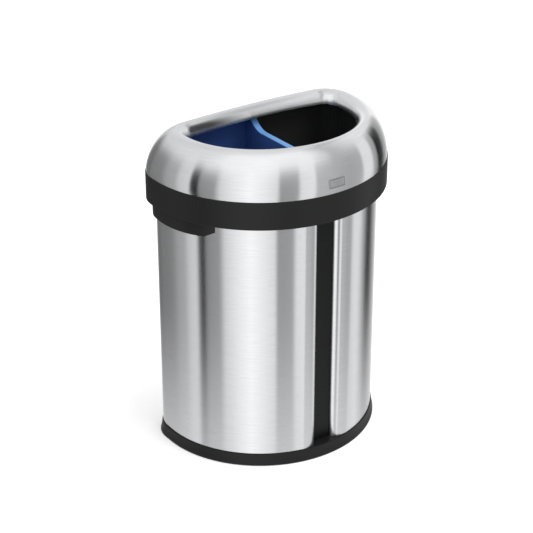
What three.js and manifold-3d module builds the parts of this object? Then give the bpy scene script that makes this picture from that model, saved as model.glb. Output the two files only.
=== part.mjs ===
// Double recycling bin: a D-plan steel body with two lift-out buckets under a lift-off open lid.
// Millimetres, +Z up and the front towards -Y. The origin is on the floor, in the middle of the plan's box.
import * as THREE from 'three';
import Module from 'manifold-3d';
import { mergeVertices } from 'three/addons/utils/BufferGeometryUtils.js';

const wasm = await Module();
wasm.setup();

// ---- Driving dimensions ----------------------------------------------------------------------------

// Body plan: half an ellipse in front, short straight sides, round back corners and a flat back.
const bodyHalfWidth = 273.5;
const bodyFront = 265; // from the plan's centre to the foremost point
const bodyBack = 89; // from the plan's centre to the flat back
const bodyCornerRadius = 67;

// Heights of the four visible bands, from the floor up.
const baseHeight = 30.5;
const steelHeight = 601;
const collarHeight = 67;
const domeRise = 108.5;

// Sheet metal and plastic walls.
const bodySheet = 0.8;
const domeSheet = 1;
const plasticWall = 3;
const bucketWall = 2.5;

// Fits.
const seatGap = 0.3; // between a piece and what it rests on
const slipGap = 0.3; // on each side of a piece that slides in
const screwGap = 0.3; // round a screw's shank
const cutMargin = 1; // how far a cutting tool reaches past the face that it cuts

// Front groove, where both edges of the wrapped sheet roll inwards.
const grooveHalfWidth = 23.5;
const grooveDepth = 23;
const grooveRoll = 46; // width of each rolled edge
const sheetReturn = 6; // straight strip of sheet behind the roll

// Front channel, the hat section that closes the groove.
const channelWall = 2.5;
const channelHook = 2.2;
const channelHookSetback = 1.5;

// Base.
const footProud = 1.5; // how far the feet stand out below the skirt
const baseFlare = 7; // the skirt's overhang at the floor
const baseLip = 2.2; // the skirt's overhang at its upper edge
const baseEdgeRound = 1.2;
const baseSkirtFoot = 2.5; // height of the skirt's upright foot
const baseWaist = 0.4; // share of the flare that is left half way up
const baseFloorTop = 12;
const baseUpstandHeight = 11.5; // above the ledge that carries the steel
const footFlange = 10; // width of the sheet's turned-in foot

// Rubber feet.
const padRadius = 11;
const padTaper = 1;
const padPegRadius = 3;
const padInset = 42; // from the steel's outer face to the pad's centre
const padAngles = [-68, -24]; // on the front half-ellipse, in degrees from the side

// Top frame.
const frameSkirt = 38; // depth of the frame's inner wall
const frameLedge = 8; // how far the frame reaches outside the steel
const frameLedgeEdge = 6;

// Collar.
const collarOverhang = 23;
const collarEdgeRound = 2;
const collarTopRound = 0.8;
const collarWeb = 3;
const collarWebInset = 2; // from the steel's outer face out to the web's inner edge
const collarBossRadius = 4;
const collarBossDepth = 6;

// Dome: a ring that rises in a superellipse from the collar, turns over a crest and rolls down to the lip.
const domeSetback = 1.6; // from the collar's outer face in to the dome's foot
const domeFootFlange = 13;
const domeRoundness = 1.71; // exponent of the outer flank, 2 being an ellipse
const lipHalfWidth = 211;
const lipFront = 207;
const lipBack = 33.5;
const lipCornerRadius = 32;
const lipForward = 13.5; // from the body plan's centre forward to the lip plan's centre
const lipToCrest = 23.5; // level distance between the lip's edge and the crest
const crestDroop = 6.5; // how much lower the crest lies at its two ends
const lipDepth = 26.5; // from the crest down to the lip's edge
const lipDroop = 10.5;

// Clamp ring that holds the dome's foot down on the collar.
const clampWidth = 11;
const clampRib = 5;
const clampRibWall = 2;
const clampSetback = 1.5; // from the dome's inner face in to the ring

// Badge, a plain curved plate on the front of the dome.
const badgeWidth = 44;
const badgeHeight = 22;
const badgeCorner = 2;
const badgeThickness = 0.8;
const badgeAboveCollar = 24; // to the badge's centre

// Side grips, hollow from below for the fingers.
const gripDepth = 36; // how far a grip hangs below the collar
const gripHidden = 34; // how far it goes on up inside the collar
const gripProudTop = 17.5;
const gripProudFoot = 15.5;
const gripHalfLength = 118; // along the wall
const gripFade = 122; // where the bulge would reach the steel
const gripPower = 2.2;
const gripEndRise = 12; // how far the lower edge rises at each end
const gripEndLength = 24;
const gripAhead = 31; // from the plan's side point forward to the grip's middle
const gripPocketEnd = 20; // solid length at each end of the finger pocket
const gripWall = 2.8;
const gripBossRadius = 5;
const gripScrewSpread = 48; // from the grip's middle to each screw
const gripScrewDrop = 20; // from the grip's top down to its screws
const gripScrewLength = 9;

// Buckets.
const bucketInset = 18; // from the steel's outer face in to the bucket's upper wall
const bucketDraft = 10; // how much narrower the bucket is at its foot
const bucketFloorGap = 3; // between the hanging bucket and the base's floor
const bucketRimHeight = 73.5; // from the collar's top to the rim
const bucketFlange = 2.2; // thickness of the flange that hangs on the frame
const bucketFlangeInset = 0.5; // from the steel's outer face in to the flange's edge
const bucketBead = 3.5;
const bucketBeadHeight = 4;
const bucketFootChamfer = 4;
const frontCornerRadius = 65; // between the divider wall and the round front
const backCornerRadius = 12; // between the divider wall and the flat back
const bandHalfWidth = 8.6; // rim band that laps over both divider walls
const bandThickness = 2.5;
const bandHook = 12;
const bandHookWall = 2;
const bandSetback = 14; // from the top of the front corner's bend back to the band's front end
const scoopDepth = 23.7; // how far the divider lies below the rim
const scoopRadius = 55;
const scoopFlatFront = -160; // along Y from the plan's centre
const scoopFlatBack = -5.5;
const scoopReach = 46; // from the flat's front end forward to the end of the cut
const scoopWidth = 20; // how far the cut reaches across, round the front corner

// Pan-head screws.
const screwRadius = 2;
const screwHeadRadius = 3.8;
const screwHeadHeight = 2.6;
const screwHeadShoulder = 0.5; // share of the head's height at which it starts to narrow
const screwHeadTop = 0.7; // share of the head's radius that is left on top
const screwPoint = 0.8;
const baseScrewBite = 3; // free thread past the last sheet
const frameScrewBite = 1.5;
const lidScrewBite = 0.6; // share of the boss that the thread fills
const frameScrewDrop = 0.42; // share of the frame's inner wall above its screws

// Screw places, as shares of the wall's length from the front to the side, and of the back's half.
const bodyScrewShare = 0.5;
const lidScrewShares = [0.22, 0.66];
const backScrewShare = 0.6;

// Facets.
const frontSteps = 12;
const rollSteps = 6;
const cornerSteps = 6;
const flankSteps = 7;
const lipSteps = 4;
const smallCornerSteps = 4;
const gripSteps = 24;
const scoopSteps = 6;
const roundSteps = 8;
const bossSteps = 12;
const badgeCornerSteps = 3;

// ---- Derived places --------------------------------------------------------------------------------

const planCentreY = (bodyFront - bodyBack) / 2;
const collarFoot = baseHeight + steelHeight;
const collarTop = collarFoot + collarHeight;
const domeFoot = collarTop + seatGap;
const crestTop = collarTop + domeRise;
const frameTop = collarTop - collarWeb - seatGap;
const frameFoot = frameTop - frameSkirt;
const steelFoot = baseHeight + seatGap;
const steelTop = frameTop - plasticWall - seatGap;
const rollEnd = grooveHalfWidth + grooveRoll; // across, where the rolled edge leaves the ellipse
const grooveFloorY = -bodyFront + grooveDepth;
const channelBack = grooveDepth + sheetReturn + slipGap + channelWall;
const channelHalfWidth = grooveHalfWidth + bodySheet + slipGap + channelHook;
const rimTop = collarTop + bucketRimHeight;

const bodyPlan = {
  halfWidth: bodyHalfWidth,
  front: bodyFront,
  back: bodyBack,
  corner: bodyCornerRadius,
  centre: 0,
};
const lipPlan = {
  halfWidth: lipHalfWidth,
  front: lipFront,
  back: lipBack,
  corner: lipCornerRadius,
  centre: -lipForward,
};

// ---- Solid modelling helpers -----------------------------------------------------------------------

/** A BufferGeometry from points and index triples. */
function geometryFrom(points, faces) {
  const geometry = new THREE.BufferGeometry().setFromPoints(points);
  geometry.setIndex(faces);
  return geometry;
}

/** Rings of equally many points, counterclockwise from above, joined into one closed skin. */
function loft(rings, { closed = false } = {}) {
  const count = rings[0].length;
  const points = rings.flat();
  const faces = [];
  const last = closed ? rings.length : rings.length - 1;
  for (let i = 0; i < last; i += 1) {
    const low = i * count;
    const high = ((i + 1) % rings.length) * count;
    for (let j = 0; j < count; j += 1) {
      const k = (j + 1) % count;
      faces.push(low + j, low + k, high + k, low + j, high + k, high + j);
    }
  }
  if (!closed) {
    capFaces(rings[0]).forEach(([a, b, c]) => faces.push(a, c, b));
    const top = (rings.length - 1) * count;
    capFaces(rings[rings.length - 1]).forEach(([a, b, c]) => faces.push(top + a, top + b, top + c));
  }
  return geometryFrom(points, faces);
}

/** Triangles that fill one level ring, counterclockwise from above. */
function capFaces(ring) {
  const flat = ring.map((p) => new THREE.Vector2(p.x, p.y));
  return THREE.ShapeUtils.triangulateShape(flat, []);
}

/** A plan outline lifted to a height, which may be a number or a function of the point. */
function ringAt(outline, height) {
  return outline.map((p) => new THREE.Vector3(p.x, p.y, typeof height === 'function' ? height(p) : height));
}

/** A closed three.js geometry as a solid for boolean work. */
function solid(geometry) {
  const bare = new THREE.BufferGeometry();
  bare.setAttribute('position', geometry.getAttribute('position'));
  if (geometry.index) bare.setIndex(geometry.index);
  const merged = mergeVertices(bare, 1e-4);
  return new wasm.Manifold(new wasm.Mesh({
    numProp: 3,
    vertProperties: new Float32Array(merged.attributes.position.array),
    triVerts: new Uint32Array(merged.index.array),
  }));
}

/** A boolean result as a three.js geometry. */
function geometryOf(body) {
  const mesh = body.getMesh();
  const geometry = new THREE.BufferGeometry();
  geometry.setAttribute('position', new THREE.BufferAttribute(mesh.vertProperties, mesh.numProp));
  geometry.setIndex(new THREE.BufferAttribute(mesh.triVerts, 1));
  return geometry;
}

/** A flat outline extruded upwards from z by a height. */
function extrudeUp(outline, z, height) {
  const geometry = new THREE.ExtrudeGeometry(new THREE.Shape(outline), { depth: height, bevelEnabled: false });
  return geometry.translate(0, 0, z);
}

/** An outline in the Y-Z plane extruded along X from x by a width. */
function extrudeAcross(outline, x, width) {
  const geometry = new THREE.ExtrudeGeometry(new THREE.Shape(outline), { depth: width, bevelEnabled: false });
  const turn = new THREE.Matrix4().makeBasis(
    new THREE.Vector3(0, 1, 0),
    new THREE.Vector3(0, 0, 1),
    new THREE.Vector3(1, 0, 0),
  );
  return geometry.applyMatrix4(turn).translate(x, 0, 0);
}

/** A revolved profile of [radius, height] pairs, listed from the bottom up, about the Z axis. */
function revolve(profile, steps) {
  const points = profile.map(([radius, height]) => new THREE.Vector2(radius, height));
  return new THREE.LatheGeometry(points, steps).rotateX(Math.PI / 2);
}

/** A round bar along a direction, from start over a length. */
function bar(start, direction, radius, length, steps = bossSteps) {
  const geometry = revolve([[0, 0], [radius, 0], [radius, length], [0, length]], steps);
  geometry.applyQuaternion(new THREE.Quaternion().setFromUnitVectors(new THREE.Vector3(0, 0, 1), direction));
  return geometry.translate(start.x, start.y, start.z);
}

// ---- Plan outlines ---------------------------------------------------------------------------------

/** A point on a plan's front half-ellipse, moved outwards; angle 0 is the right side, -90 degrees the front. */
function ellipsePoint(plan, angle, offset) {
  const along = new THREE.Vector2(plan.front * Math.cos(angle), plan.halfWidth * Math.sin(angle)).normalize();
  return new THREE.Vector2(
    plan.halfWidth * Math.cos(angle) + along.x * offset,
    plan.centre + plan.front * Math.sin(angle) + along.y * offset,
  );
}

/** The angle at which a plan's front half-ellipse stands x to the right of its middle. */
function ellipseAngle(plan, x) {
  return -Math.acos(THREE.MathUtils.clamp(x / plan.halfWidth, -1, 1));
}

/** The right half of a plan from the front centre line round to the back centre line. */
function halfOutline(plan, offset, groove) {
  const points = [];
  const start = ellipseAngle(plan, rollEnd);
  const halfWidth = groove ? groove.halfWidth : grooveHalfWidth;
  if (groove) points.push(new THREE.Vector2(0, groove.floorY));
  else points.push(new THREE.Vector2(0, plan.centre - plan.front - offset));
  for (let i = rollSteps; i > 0; i -= 1) {
    const turn = (i / rollSteps) * (Math.PI / 2);
    const x = halfWidth + (rollEnd - halfWidth) * (1 - Math.sin(turn));
    const point = ellipsePoint(plan, ellipseAngle(plan, x), offset);
    const depth = groove ? groove.floorY - ellipsePoint(plan, -Math.PI / 2, offset).y : 0;
    point.y = groove && i === rollSteps ? groove.floorY : point.y + depth * (1 - Math.cos(turn));
    point.x = groove ? x : point.x;
    points.push(point);
  }
  for (let i = 0; i <= frontSteps; i += 1) {
    points.push(ellipsePoint(plan, start * (1 - i / frontSteps), offset));
  }
  const cornerX = plan.halfWidth - plan.corner;
  const cornerY = plan.centre + plan.back - plan.corner;
  for (let i = 0; i <= cornerSteps; i += 1) {
    const turn = (i / cornerSteps) * (Math.PI / 2);
    const reach = plan.corner + offset;
    points.push(new THREE.Vector2(cornerX + reach * Math.cos(turn), cornerY + reach * Math.sin(turn)));
  }
  return points;
}

/** A right half mirrored into a whole outline, counterclockwise from above. */
function mirrored(half) {
  const left = half.filter((p) => p.x > 0).map((p) => new THREE.Vector2(-p.x, p.y)).reverse();
  return [...half, ...left];
}

/** The plain D outline, moved outwards by an offset. */
function plainOutline(offset, plan = bodyPlan) {
  return mirrored(halfOutline(plan, offset, null));
}

/** The inner outline behind the front channel, moved inwards from the steel by an inset. */
function innerOutline(inset) {
  return mirrored(halfOutline(bodyPlan, -inset, {
    halfWidth: channelHalfWidth + inset - bodySheet,
    floorY: -bodyFront + channelBack + inset - bodySheet,
  }));
}

/** The right half of the wrapped sheet's face at an inset, from its free edge in the groove to the back. */
function sheetHalf(inset) {
  const half = halfOutline(bodyPlan, -inset, {
    halfWidth: grooveHalfWidth + inset,
    floorY: grooveFloorY,
  }).slice(1);
  return [new THREE.Vector2(grooveHalfWidth + inset, grooveFloorY + sheetReturn), ...half];
}

/** The body's plain right half as a path that gives points and directions by distance along the wall. */
const wallPath = new THREE.Path();
wallPath.absellipse(0, 0, bodyHalfWidth, bodyFront, -Math.PI / 2, 0, false);
wallPath.lineTo(bodyHalfWidth, bodyBack - bodyCornerRadius);
wallPath.absarc(
  bodyHalfWidth - bodyCornerRadius, bodyBack - bodyCornerRadius, bodyCornerRadius, 0, Math.PI / 2, false);
wallPath.lineTo(0, bodyBack);
const sidePoint = wallPath.curves[0].getLength(); // along the wall from the front centre line

/** A place on the steel's outer face: its point and outward direction at a distance along the wall. */
function wallPlace(along) {
  const share = along / wallPath.getLength();
  const tangent = wallPath.getTangentAt(share);
  return { point: wallPath.getPointAt(share), outward: new THREE.Vector2(tangent.y, -tangent.x) };
}

/** The 3-D point at an offset outside a place on the wall, at a height. */
function offWall(place, offset, z) {
  return new THREE.Vector3(
    place.point.x + place.outward.x * offset,
    place.point.y + place.outward.y * offset,
    z,
  );
}

/** The steel's facet nearest to a distance along the wall: its middle and its outward direction. */
function facetPlace(along) {
  const near = wallPath.getPointAt(along / wallPath.getLength());
  const corners = [...halfOutline(bodyPlan, 0, null), new THREE.Vector2(0, bodyBack)];
  const facets = corners.slice(1).map((end, i) => {
    const point = new THREE.Vector2().addVectors(corners[i], end).multiplyScalar(1 / 2);
    const edge = new THREE.Vector2().subVectors(end, corners[i]).normalize();
    return { point, outward: new THREE.Vector2(edge.y, -edge.x) };
  });
  const nearer = (a, b) => (b.point.distanceTo(near) < a.point.distanceTo(near) ? b : a);
  return facets.reduce(nearer);
}

/** Both mirror images of a place. */
function bothSides(place) {
  const left = {
    point: new THREE.Vector2(-place.point.x, place.point.y),
    outward: new THREE.Vector2(-place.outward.x, place.outward.y),
  };
  return [left, place];
}

const sideMiddle = sidePoint + (bodyBack - bodyCornerRadius) / 2;
const backMiddle = wallPath.getLength() - (bodyHalfWidth - bodyCornerRadius) * backScrewShare;
const frontQuarter = sidePoint * bodyScrewShare;
const bodyScrewPlaces = [frontQuarter, sideMiddle, backMiddle].flatMap((d) => bothSides(facetPlace(d)));
const lidScrewPlaces = [...lidScrewShares.map((share) => sidePoint * share), sideMiddle, backMiddle]
  .flatMap((d) => bothSides(facetPlace(d)));

// ---- Screws and feet -------------------------------------------------------------------------------

/** A pan-head screw that stands on its head's seat, with the head towards +Z and the shank below. */
function screwGeometry(length) {
  return revolve([
    [0, -length],
    [screwRadius - screwPoint, -length],
    [screwRadius, -length + screwPoint],
    [screwRadius, 0],
    [screwHeadRadius, 0],
    [screwHeadRadius, screwHeadHeight * screwHeadShoulder],
    [screwHeadRadius * screwHeadTop, screwHeadHeight],
    [0, screwHeadHeight],
  ], roundSteps);
}

/** The hole for a screw whose head seats at start and whose shank runs against the head's direction. */
function screwHole(start, headDirection, length) {
  const into = headDirection.clone().negate();
  return solid(bar(start, into, screwRadius + screwGap, length, roundSteps));
}

const baseScrewInset = bodySheet + footFlange / 2;
const baseScrewLength = plasticWall + seatGap + bodySheet + baseScrewBite;
const frameScrewHeight = frameTop - frameSkirt * frameScrewDrop;
const frameScrewLength = bodySheet + slipGap + plasticWall + frameScrewBite;
const lidScrewOffset = collarOverhang - domeSetback - domeSheet - clampSetback - clampWidth / 2 + clampRibWall / 2;
const clampFoot = domeFoot + domeSheet + seatGap;
const lidScrewSeat = clampFoot + plasticWall + seatGap;
const lidScrewLength = lidScrewSeat - collarTop + collarWeb + collarBossDepth * lidScrewBite;
const gripTop = collarFoot + gripHidden;
const gripFoot = collarFoot - gripDepth;
const gripMiddle = sidePoint - gripAhead;
const gripScrewHeight = gripTop - gripScrewDrop;
const gripScrewPlaces = [-1, 1].map((side) => facetPlace(gripMiddle + side * gripScrewSpread)).flatMap(bothSides);

const padPlaces = [
  ...padAngles.map((degrees) => ellipsePoint(bodyPlan, THREE.MathUtils.degToRad(degrees), -padInset)),
  new THREE.Vector2(bodyHalfWidth - bodyCornerRadius, bodyBack - padInset),
].flatMap((p) => [new THREE.Vector2(-p.x, p.y), p]);

/** One rubber foot with the peg that holds it in the base's floor. */
function padGeometry() {
  const shoulder = baseFloorTop - plasticWall - seatGap;
  return revolve([
    [0, 0],
    [padRadius - padTaper, 0],
    [padRadius, padTaper],
    [padRadius, shoulder],
    [padPegRadius, shoulder],
    [padPegRadius, baseFloorTop - seatGap],
    [0, baseFloorTop - seatGap],
  ], bossSteps);
}

// ---- Body ------------------------------------------------------------------------------------------

/** Moulded base: flared skirt, ledge for the steel, upstand inside it and a floor. */
function baseGeometry() {
  const ledgeUnder = baseHeight - plasticWall;
  const outer = bodySheet + footFlange + slipGap;
  const inner = outer + plasticWall;
  const middle = (footProud + baseHeight) / 2;
  const rings = [
    ringAt(innerOutline(outer), baseFloorTop - plasticWall),
    ringAt(innerOutline(outer), ledgeUnder),
    ringAt(plainOutline(baseLip - plasticWall), ledgeUnder),
    ringAt(plainOutline(baseFlare - plasticWall), footProud),
    ringAt(plainOutline(baseFlare), footProud),
    ringAt(plainOutline(baseFlare), footProud + baseSkirtFoot),
    ringAt(plainOutline(baseLip + (baseFlare - baseLip) * baseWaist), middle),
    ringAt(plainOutline(baseLip), baseHeight - baseEdgeRound),
    ringAt(plainOutline(baseLip - baseEdgeRound), baseHeight),
    ringAt(innerOutline(outer), baseHeight),
    ringAt(innerOutline(outer), baseHeight + baseUpstandHeight),
    ringAt(innerOutline(inner), baseHeight + baseUpstandHeight),
    ringAt(innerOutline(inner), baseFloorTop),
  ];
  let base = solid(loft(rings));
  const down = new THREE.Vector3(0, 0, -1);
  for (const place of bodyScrewPlaces) {
    const seat = offWall(place, -baseScrewInset, ledgeUnder);
    base = base.subtract(screwHole(seat.setZ(ledgeUnder - cutMargin), down, plasticWall + 2 * cutMargin));
  }
  for (const pad of padPlaces) {
    const foot = new THREE.Vector3(pad.x, pad.y, baseFloorTop - plasticWall - cutMargin);
    const up = new THREE.Vector3(0, 0, 1);
    base = base.subtract(solid(bar(foot, up, padPegRadius + slipGap, plasticWall + 2 * cutMargin)));
  }
  return geometryOf(base);
}

/** Wrapped stainless sheet with rolled front edges and a turned-in foot. */
function bodyShellGeometry() {
  const outside = sheetHalf(0);
  const inside = sheetHalf(bodySheet);
  const mirror = (half) => half.map((p) => new THREE.Vector2(-p.x, p.y)).reverse();
  const wall = [...outside, ...mirror(outside), ...mirror(inside).reverse(), ...inside.reverse()];
  let shell = solid(extrudeUp(wall, steelFoot, steelTop - steelFoot));
  const past = (half) => half.filter((p) => p.x >= 0 && (p.x >= rollEnd || p.y > 0));
  const edge = past(halfOutline(bodyPlan, -bodySheet / 2, null));
  const rim = past(halfOutline(bodyPlan, -bodySheet - footFlange, null));
  const flange = [...edge, ...mirror(edge), ...mirror(rim).reverse(), ...rim.reverse()];
  shell = shell.add(solid(extrudeUp(flange, steelFoot, bodySheet)));
  const throughSheet = bodySheet + 2 * cutMargin;
  for (const place of bodyScrewPlaces) {
    const seat = offWall(place, -baseScrewInset, steelFoot - cutMargin);
    shell = shell.subtract(screwHole(seat, new THREE.Vector3(0, 0, -1), throughSheet));
    const outward = new THREE.Vector3(place.outward.x, place.outward.y, 0);
    shell = shell.subtract(screwHole(offWall(place, cutMargin, frameScrewHeight), outward, throughSheet));
  }
  for (const place of gripScrewPlaces) {
    const outward = new THREE.Vector3(place.outward.x, place.outward.y, 0);
    shell = shell.subtract(screwHole(offWall(place, cutMargin, gripScrewHeight), outward, throughSheet));
  }
  return geometryOf(shell);
}

/** Black hat-section strip whose two slots take the sheet's rolled edges. */
function channelGeometry() {
  const side = grooveHalfWidth - slipGap;
  const slotBack = grooveFloorY + sheetReturn + slipGap;
  const hook = grooveHalfWidth + bodySheet + slipGap;
  const half = [
    [side, grooveFloorY],
    [side, slotBack],
    [hook, slotBack],
    [hook, grooveFloorY + channelHookSetback],
    [hook + channelHook, grooveFloorY + channelHookSetback],
    [hook + channelHook, slotBack + channelWall],
    [side - channelWall, slotBack + channelWall],
    [side - channelWall, grooveFloorY + channelWall],
  ].map(([x, y]) => new THREE.Vector2(x, y));
  const outline = [...half, ...half.map((p) => new THREE.Vector2(-p.x, p.y)).reverse()];
  const foot = baseHeight + seatGap;
  return extrudeUp(outline, foot, frameTop - plasticWall - seatGap - foot);
}

/** Moulded frame that caps the steel: inner wall, top and a ledge outside for the lid. */
function frameGeometry() {
  const inset = bodySheet + slipGap;
  const under = frameTop - plasticWall;
  const rings = [
    ringAt(innerOutline(inset + plasticWall), frameFoot),
    ringAt(innerOutline(inset), frameFoot),
    ringAt(innerOutline(inset), under),
    ringAt(plainOutline(frameLedge - plasticWall), under),
    ringAt(plainOutline(frameLedge - plasticWall), frameTop - frameLedgeEdge),
    ringAt(plainOutline(frameLedge), frameTop - frameLedgeEdge),
    ringAt(plainOutline(frameLedge), frameTop),
    ringAt(innerOutline(inset + plasticWall), frameTop),
  ];
  let frame = solid(loft(rings, { closed: true }));
  for (const place of bodyScrewPlaces) {
    const outward = new THREE.Vector3(place.outward.x, place.outward.y, 0);
    const length = frameScrewLength + 2 * cutMargin;
    frame = frame.subtract(screwHole(offWall(place, cutMargin, frameScrewHeight), outward, length));
  }
  return geometryOf(frame);
}

/** How far a grip stands out from the steel at a distance from its middle, at its top or foot. */
function gripProud(distance, proud) {
  return proud * (1 - Math.abs(distance / gripFade) ** gripPower);
}

/** One upright slice of a grip, from the steel out to its face. */
function gripSlice(distance, back, thinner, top, foot) {
  const place = wallPlace(gripMiddle + distance);
  const upper = gripProud(distance, gripProudTop) - thinner;
  const lower = gripProud(distance, gripProudFoot) - thinner;
  return [
    offWall(place, back, foot),
    offWall(place, lower, foot),
    offWall(place, upper, top),
    offWall(place, back, top),
  ];
}

/** Slices spread over a grip's length, lofted from its back end to its front end. */
function gripLoft(reach, back, thinner, topOf, footOf) {
  const slices = [];
  for (let i = 0; i <= gripSteps; i += 1) {
    const distance = reach * (1 - (2 * i) / gripSteps);
    slices.push(gripSlice(distance, back, thinner, topOf(distance), footOf(distance)));
  }
  const count = slices[0].length;
  const faces = [];
  for (let i = 0; i < gripSteps; i += 1) {
    for (let j = 0; j < count; j += 1) {
      const k = (j + 1) % count;
      const [a, b] = [i * count, (i + 1) * count];
      faces.push(a + j, a + k, b + k, a + j, b + k, b + j);
    }
  }
  const end = gripSteps * count;
  faces.push(0, 2, 1, 0, 3, 2, end, end + 1, end + 2, end, end + 2, end + 3);
  return solid(geometryFrom(slices.flat(), faces));
}

/** Moulded side grip on the right: a bulging apron over a finger pocket, with two screw bosses. */
function gripSolid() {
  const footOf = (distance) => {
    const past = Math.max(0, Math.abs(distance) - (gripHalfLength - gripEndLength));
    return gripFoot + (past / gripEndLength) * gripEndRise;
  };
  const pocketEnd = gripHalfLength - gripPocketEnd;
  let grip = gripLoft(gripHalfLength, seatGap, 0, () => gripTop, footOf);
  const pocket = gripLoft(
    pocketEnd, -cutMargin, gripWall, () => gripTop - gripWall, () => gripFoot - cutMargin);
  grip = grip.subtract(pocket);
  for (const place of gripScrewPlaces.filter((p) => p.point.x > 0)) {
    const outward = new THREE.Vector3(place.outward.x, place.outward.y, 0);
    const reach = gripProud(gripScrewSpread, gripProudTop) - gripWall / 2;
    const boss = bar(offWall(place, seatGap, gripScrewHeight), outward, gripBossRadius, reach - seatGap);
    grip = grip.add(solid(boss));
    const start = offWall(place, -cutMargin, gripScrewHeight);
    const bore = screwHole(start, outward.clone().negate(), gripScrewLength + cutMargin);
    grip = grip.subtract(bore);
  }
  return grip;
}

// ---- Lid -------------------------------------------------------------------------------------------

/** Black collar: a skirt outside the body, a web that rests on the frame, and bosses for the lid's screws. */
function collarGeometry() {
  const inside = collarOverhang - plasticWall;
  const rings = [
    ringAt(plainOutline(inside), collarFoot),
    ringAt(plainOutline(collarOverhang - collarEdgeRound), collarFoot),
    ringAt(plainOutline(collarOverhang), collarFoot + collarEdgeRound),
    ringAt(plainOutline(collarOverhang), collarTop - collarTopRound),
    ringAt(plainOutline(collarOverhang - collarTopRound), collarTop),
    ringAt(plainOutline(collarWebInset), collarTop),
    ringAt(plainOutline(collarWebInset), collarTop - collarWeb),
    ringAt(plainOutline(inside), collarTop - collarWeb),
  ];
  let collar = solid(loft(rings, { closed: true }));
  const down = new THREE.Vector3(0, 0, -1);
  for (const place of lidScrewPlaces) {
    const seat = offWall(place, lidScrewOffset, collarTop - collarWeb / 2);
    collar = collar.add(solid(bar(seat, down, collarBossRadius, collarWeb / 2 + collarBossDepth)));
    const bore = screwHole(offWall(place, lidScrewOffset, lidScrewSeat), new THREE.Vector3(0, 0, 1),
      lidScrewLength + cutMargin);
    collar = collar.subtract(bore);
  }
  return geometryOf(collar);
}

/** How far a droop that is full at the plan's two ends has come at a point. */
function droop(point, plan, offset, full) {
  return full * (point.x / (plan.halfWidth + offset)) ** 2;
}

/** The dome's outer face as rings, from the outer edge of its foot over the crest to the lip. */
function domeRings(lift = 0) {
  const foot = plainOutline(collarOverhang - domeSetback + lift);
  const crest = plainOutline(lipToCrest, lipPlan);
  const lip = plainOutline(-lift, lipPlan);
  const crestZ = crest.map((p) => crestTop + lift - droop(p, lipPlan, lipToCrest, crestDroop));
  const lipZ = lip.map((p) => crestTop - lipDepth - droop(p, lipPlan, 0, lipDroop));
  const rings = [];
  for (let i = 0; i <= flankSteps; i += 1) {
    const turn = (i / flankSteps) * (Math.PI / 2);
    const out = Math.cos(turn) ** (2 / domeRoundness);
    const up = Math.sin(turn) ** (2 / domeRoundness);
    rings.push(crest.map((p, j) => new THREE.Vector3(
      p.x + (foot[j].x - p.x) * out,
      p.y + (foot[j].y - p.y) * out,
      domeFoot + (crestZ[j] - domeFoot) * up,
    )));
  }
  for (let i = 1; i <= lipSteps; i += 1) {
    const turn = (i / lipSteps) * (Math.PI / 2);
    rings.push(crest.map((p, j) => new THREE.Vector3(
      p.x + (lip[j].x - p.x) * Math.sin(turn),
      p.y + (lip[j].y - p.y) * Math.sin(turn),
      lipZ[j] + (crestZ[j] - lipZ[j]) * Math.cos(turn),
    )));
  }
  return rings;
}

/** The same rings moved by a thickness to the inner side of the skin. */
function innerRings(rings, thickness) {
  const count = rings[0].length;
  return rings.map((ring, i) => ring.map((p, j) => {
    const around = new THREE.Vector3().subVectors(ring[(j + 1) % count], ring[(j + count - 1) % count]);
    const above = rings[Math.min(i + 1, rings.length - 1)][j];
    const below = rings[Math.max(i - 1, 0)][j];
    const outward = around.cross(new THREE.Vector3().subVectors(above, below)).normalize();
    return p.clone().addScaledVector(outward, -thickness);
  }));
}

/** Pressed stainless dome ring with a turned-in foot and a rolled-down lip. */
function domeGeometry() {
  const flange = ringAt(plainOutline(collarOverhang - domeSetback - domeFootFlange), domeFoot);
  const outside = [flange, ...domeRings()];
  const inside = innerRings(outside, domeSheet);
  let dome = solid(loft([...outside, ...inside.reverse()], { closed: true }));
  for (const place of lidScrewPlaces) {
    const seat = offWall(place, lidScrewOffset, domeFoot + domeSheet + cutMargin);
    dome = dome.subtract(screwHole(seat, new THREE.Vector3(0, 0, 1), domeSheet + 2 * cutMargin));
  }
  return geometryOf(dome);
}

/** Ring inside the dome that clamps its foot to the collar, stiffened by a rib on its inner edge. */
function clampGeometry() {
  const outer = collarOverhang - domeSetback - domeSheet - clampSetback;
  const inner = outer - clampWidth;
  const rings = [
    ringAt(plainOutline(inner), clampFoot),
    ringAt(plainOutline(outer), clampFoot),
    ringAt(plainOutline(outer), clampFoot + plasticWall),
    ringAt(plainOutline(inner + clampRibWall), clampFoot + plasticWall),
    ringAt(plainOutline(inner + clampRibWall), clampFoot + plasticWall + clampRib),
    ringAt(plainOutline(inner), clampFoot + plasticWall + clampRib),
  ];
  let ring = solid(loft(rings, { closed: true }));
  for (const place of lidScrewPlaces) {
    const seat = offWall(place, lidScrewOffset, lidScrewSeat + cutMargin);
    ring = ring.subtract(screwHole(seat, new THREE.Vector3(0, 0, 1), plasticWall + 2 * cutMargin));
  }
  return geometryOf(ring);
}

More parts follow.
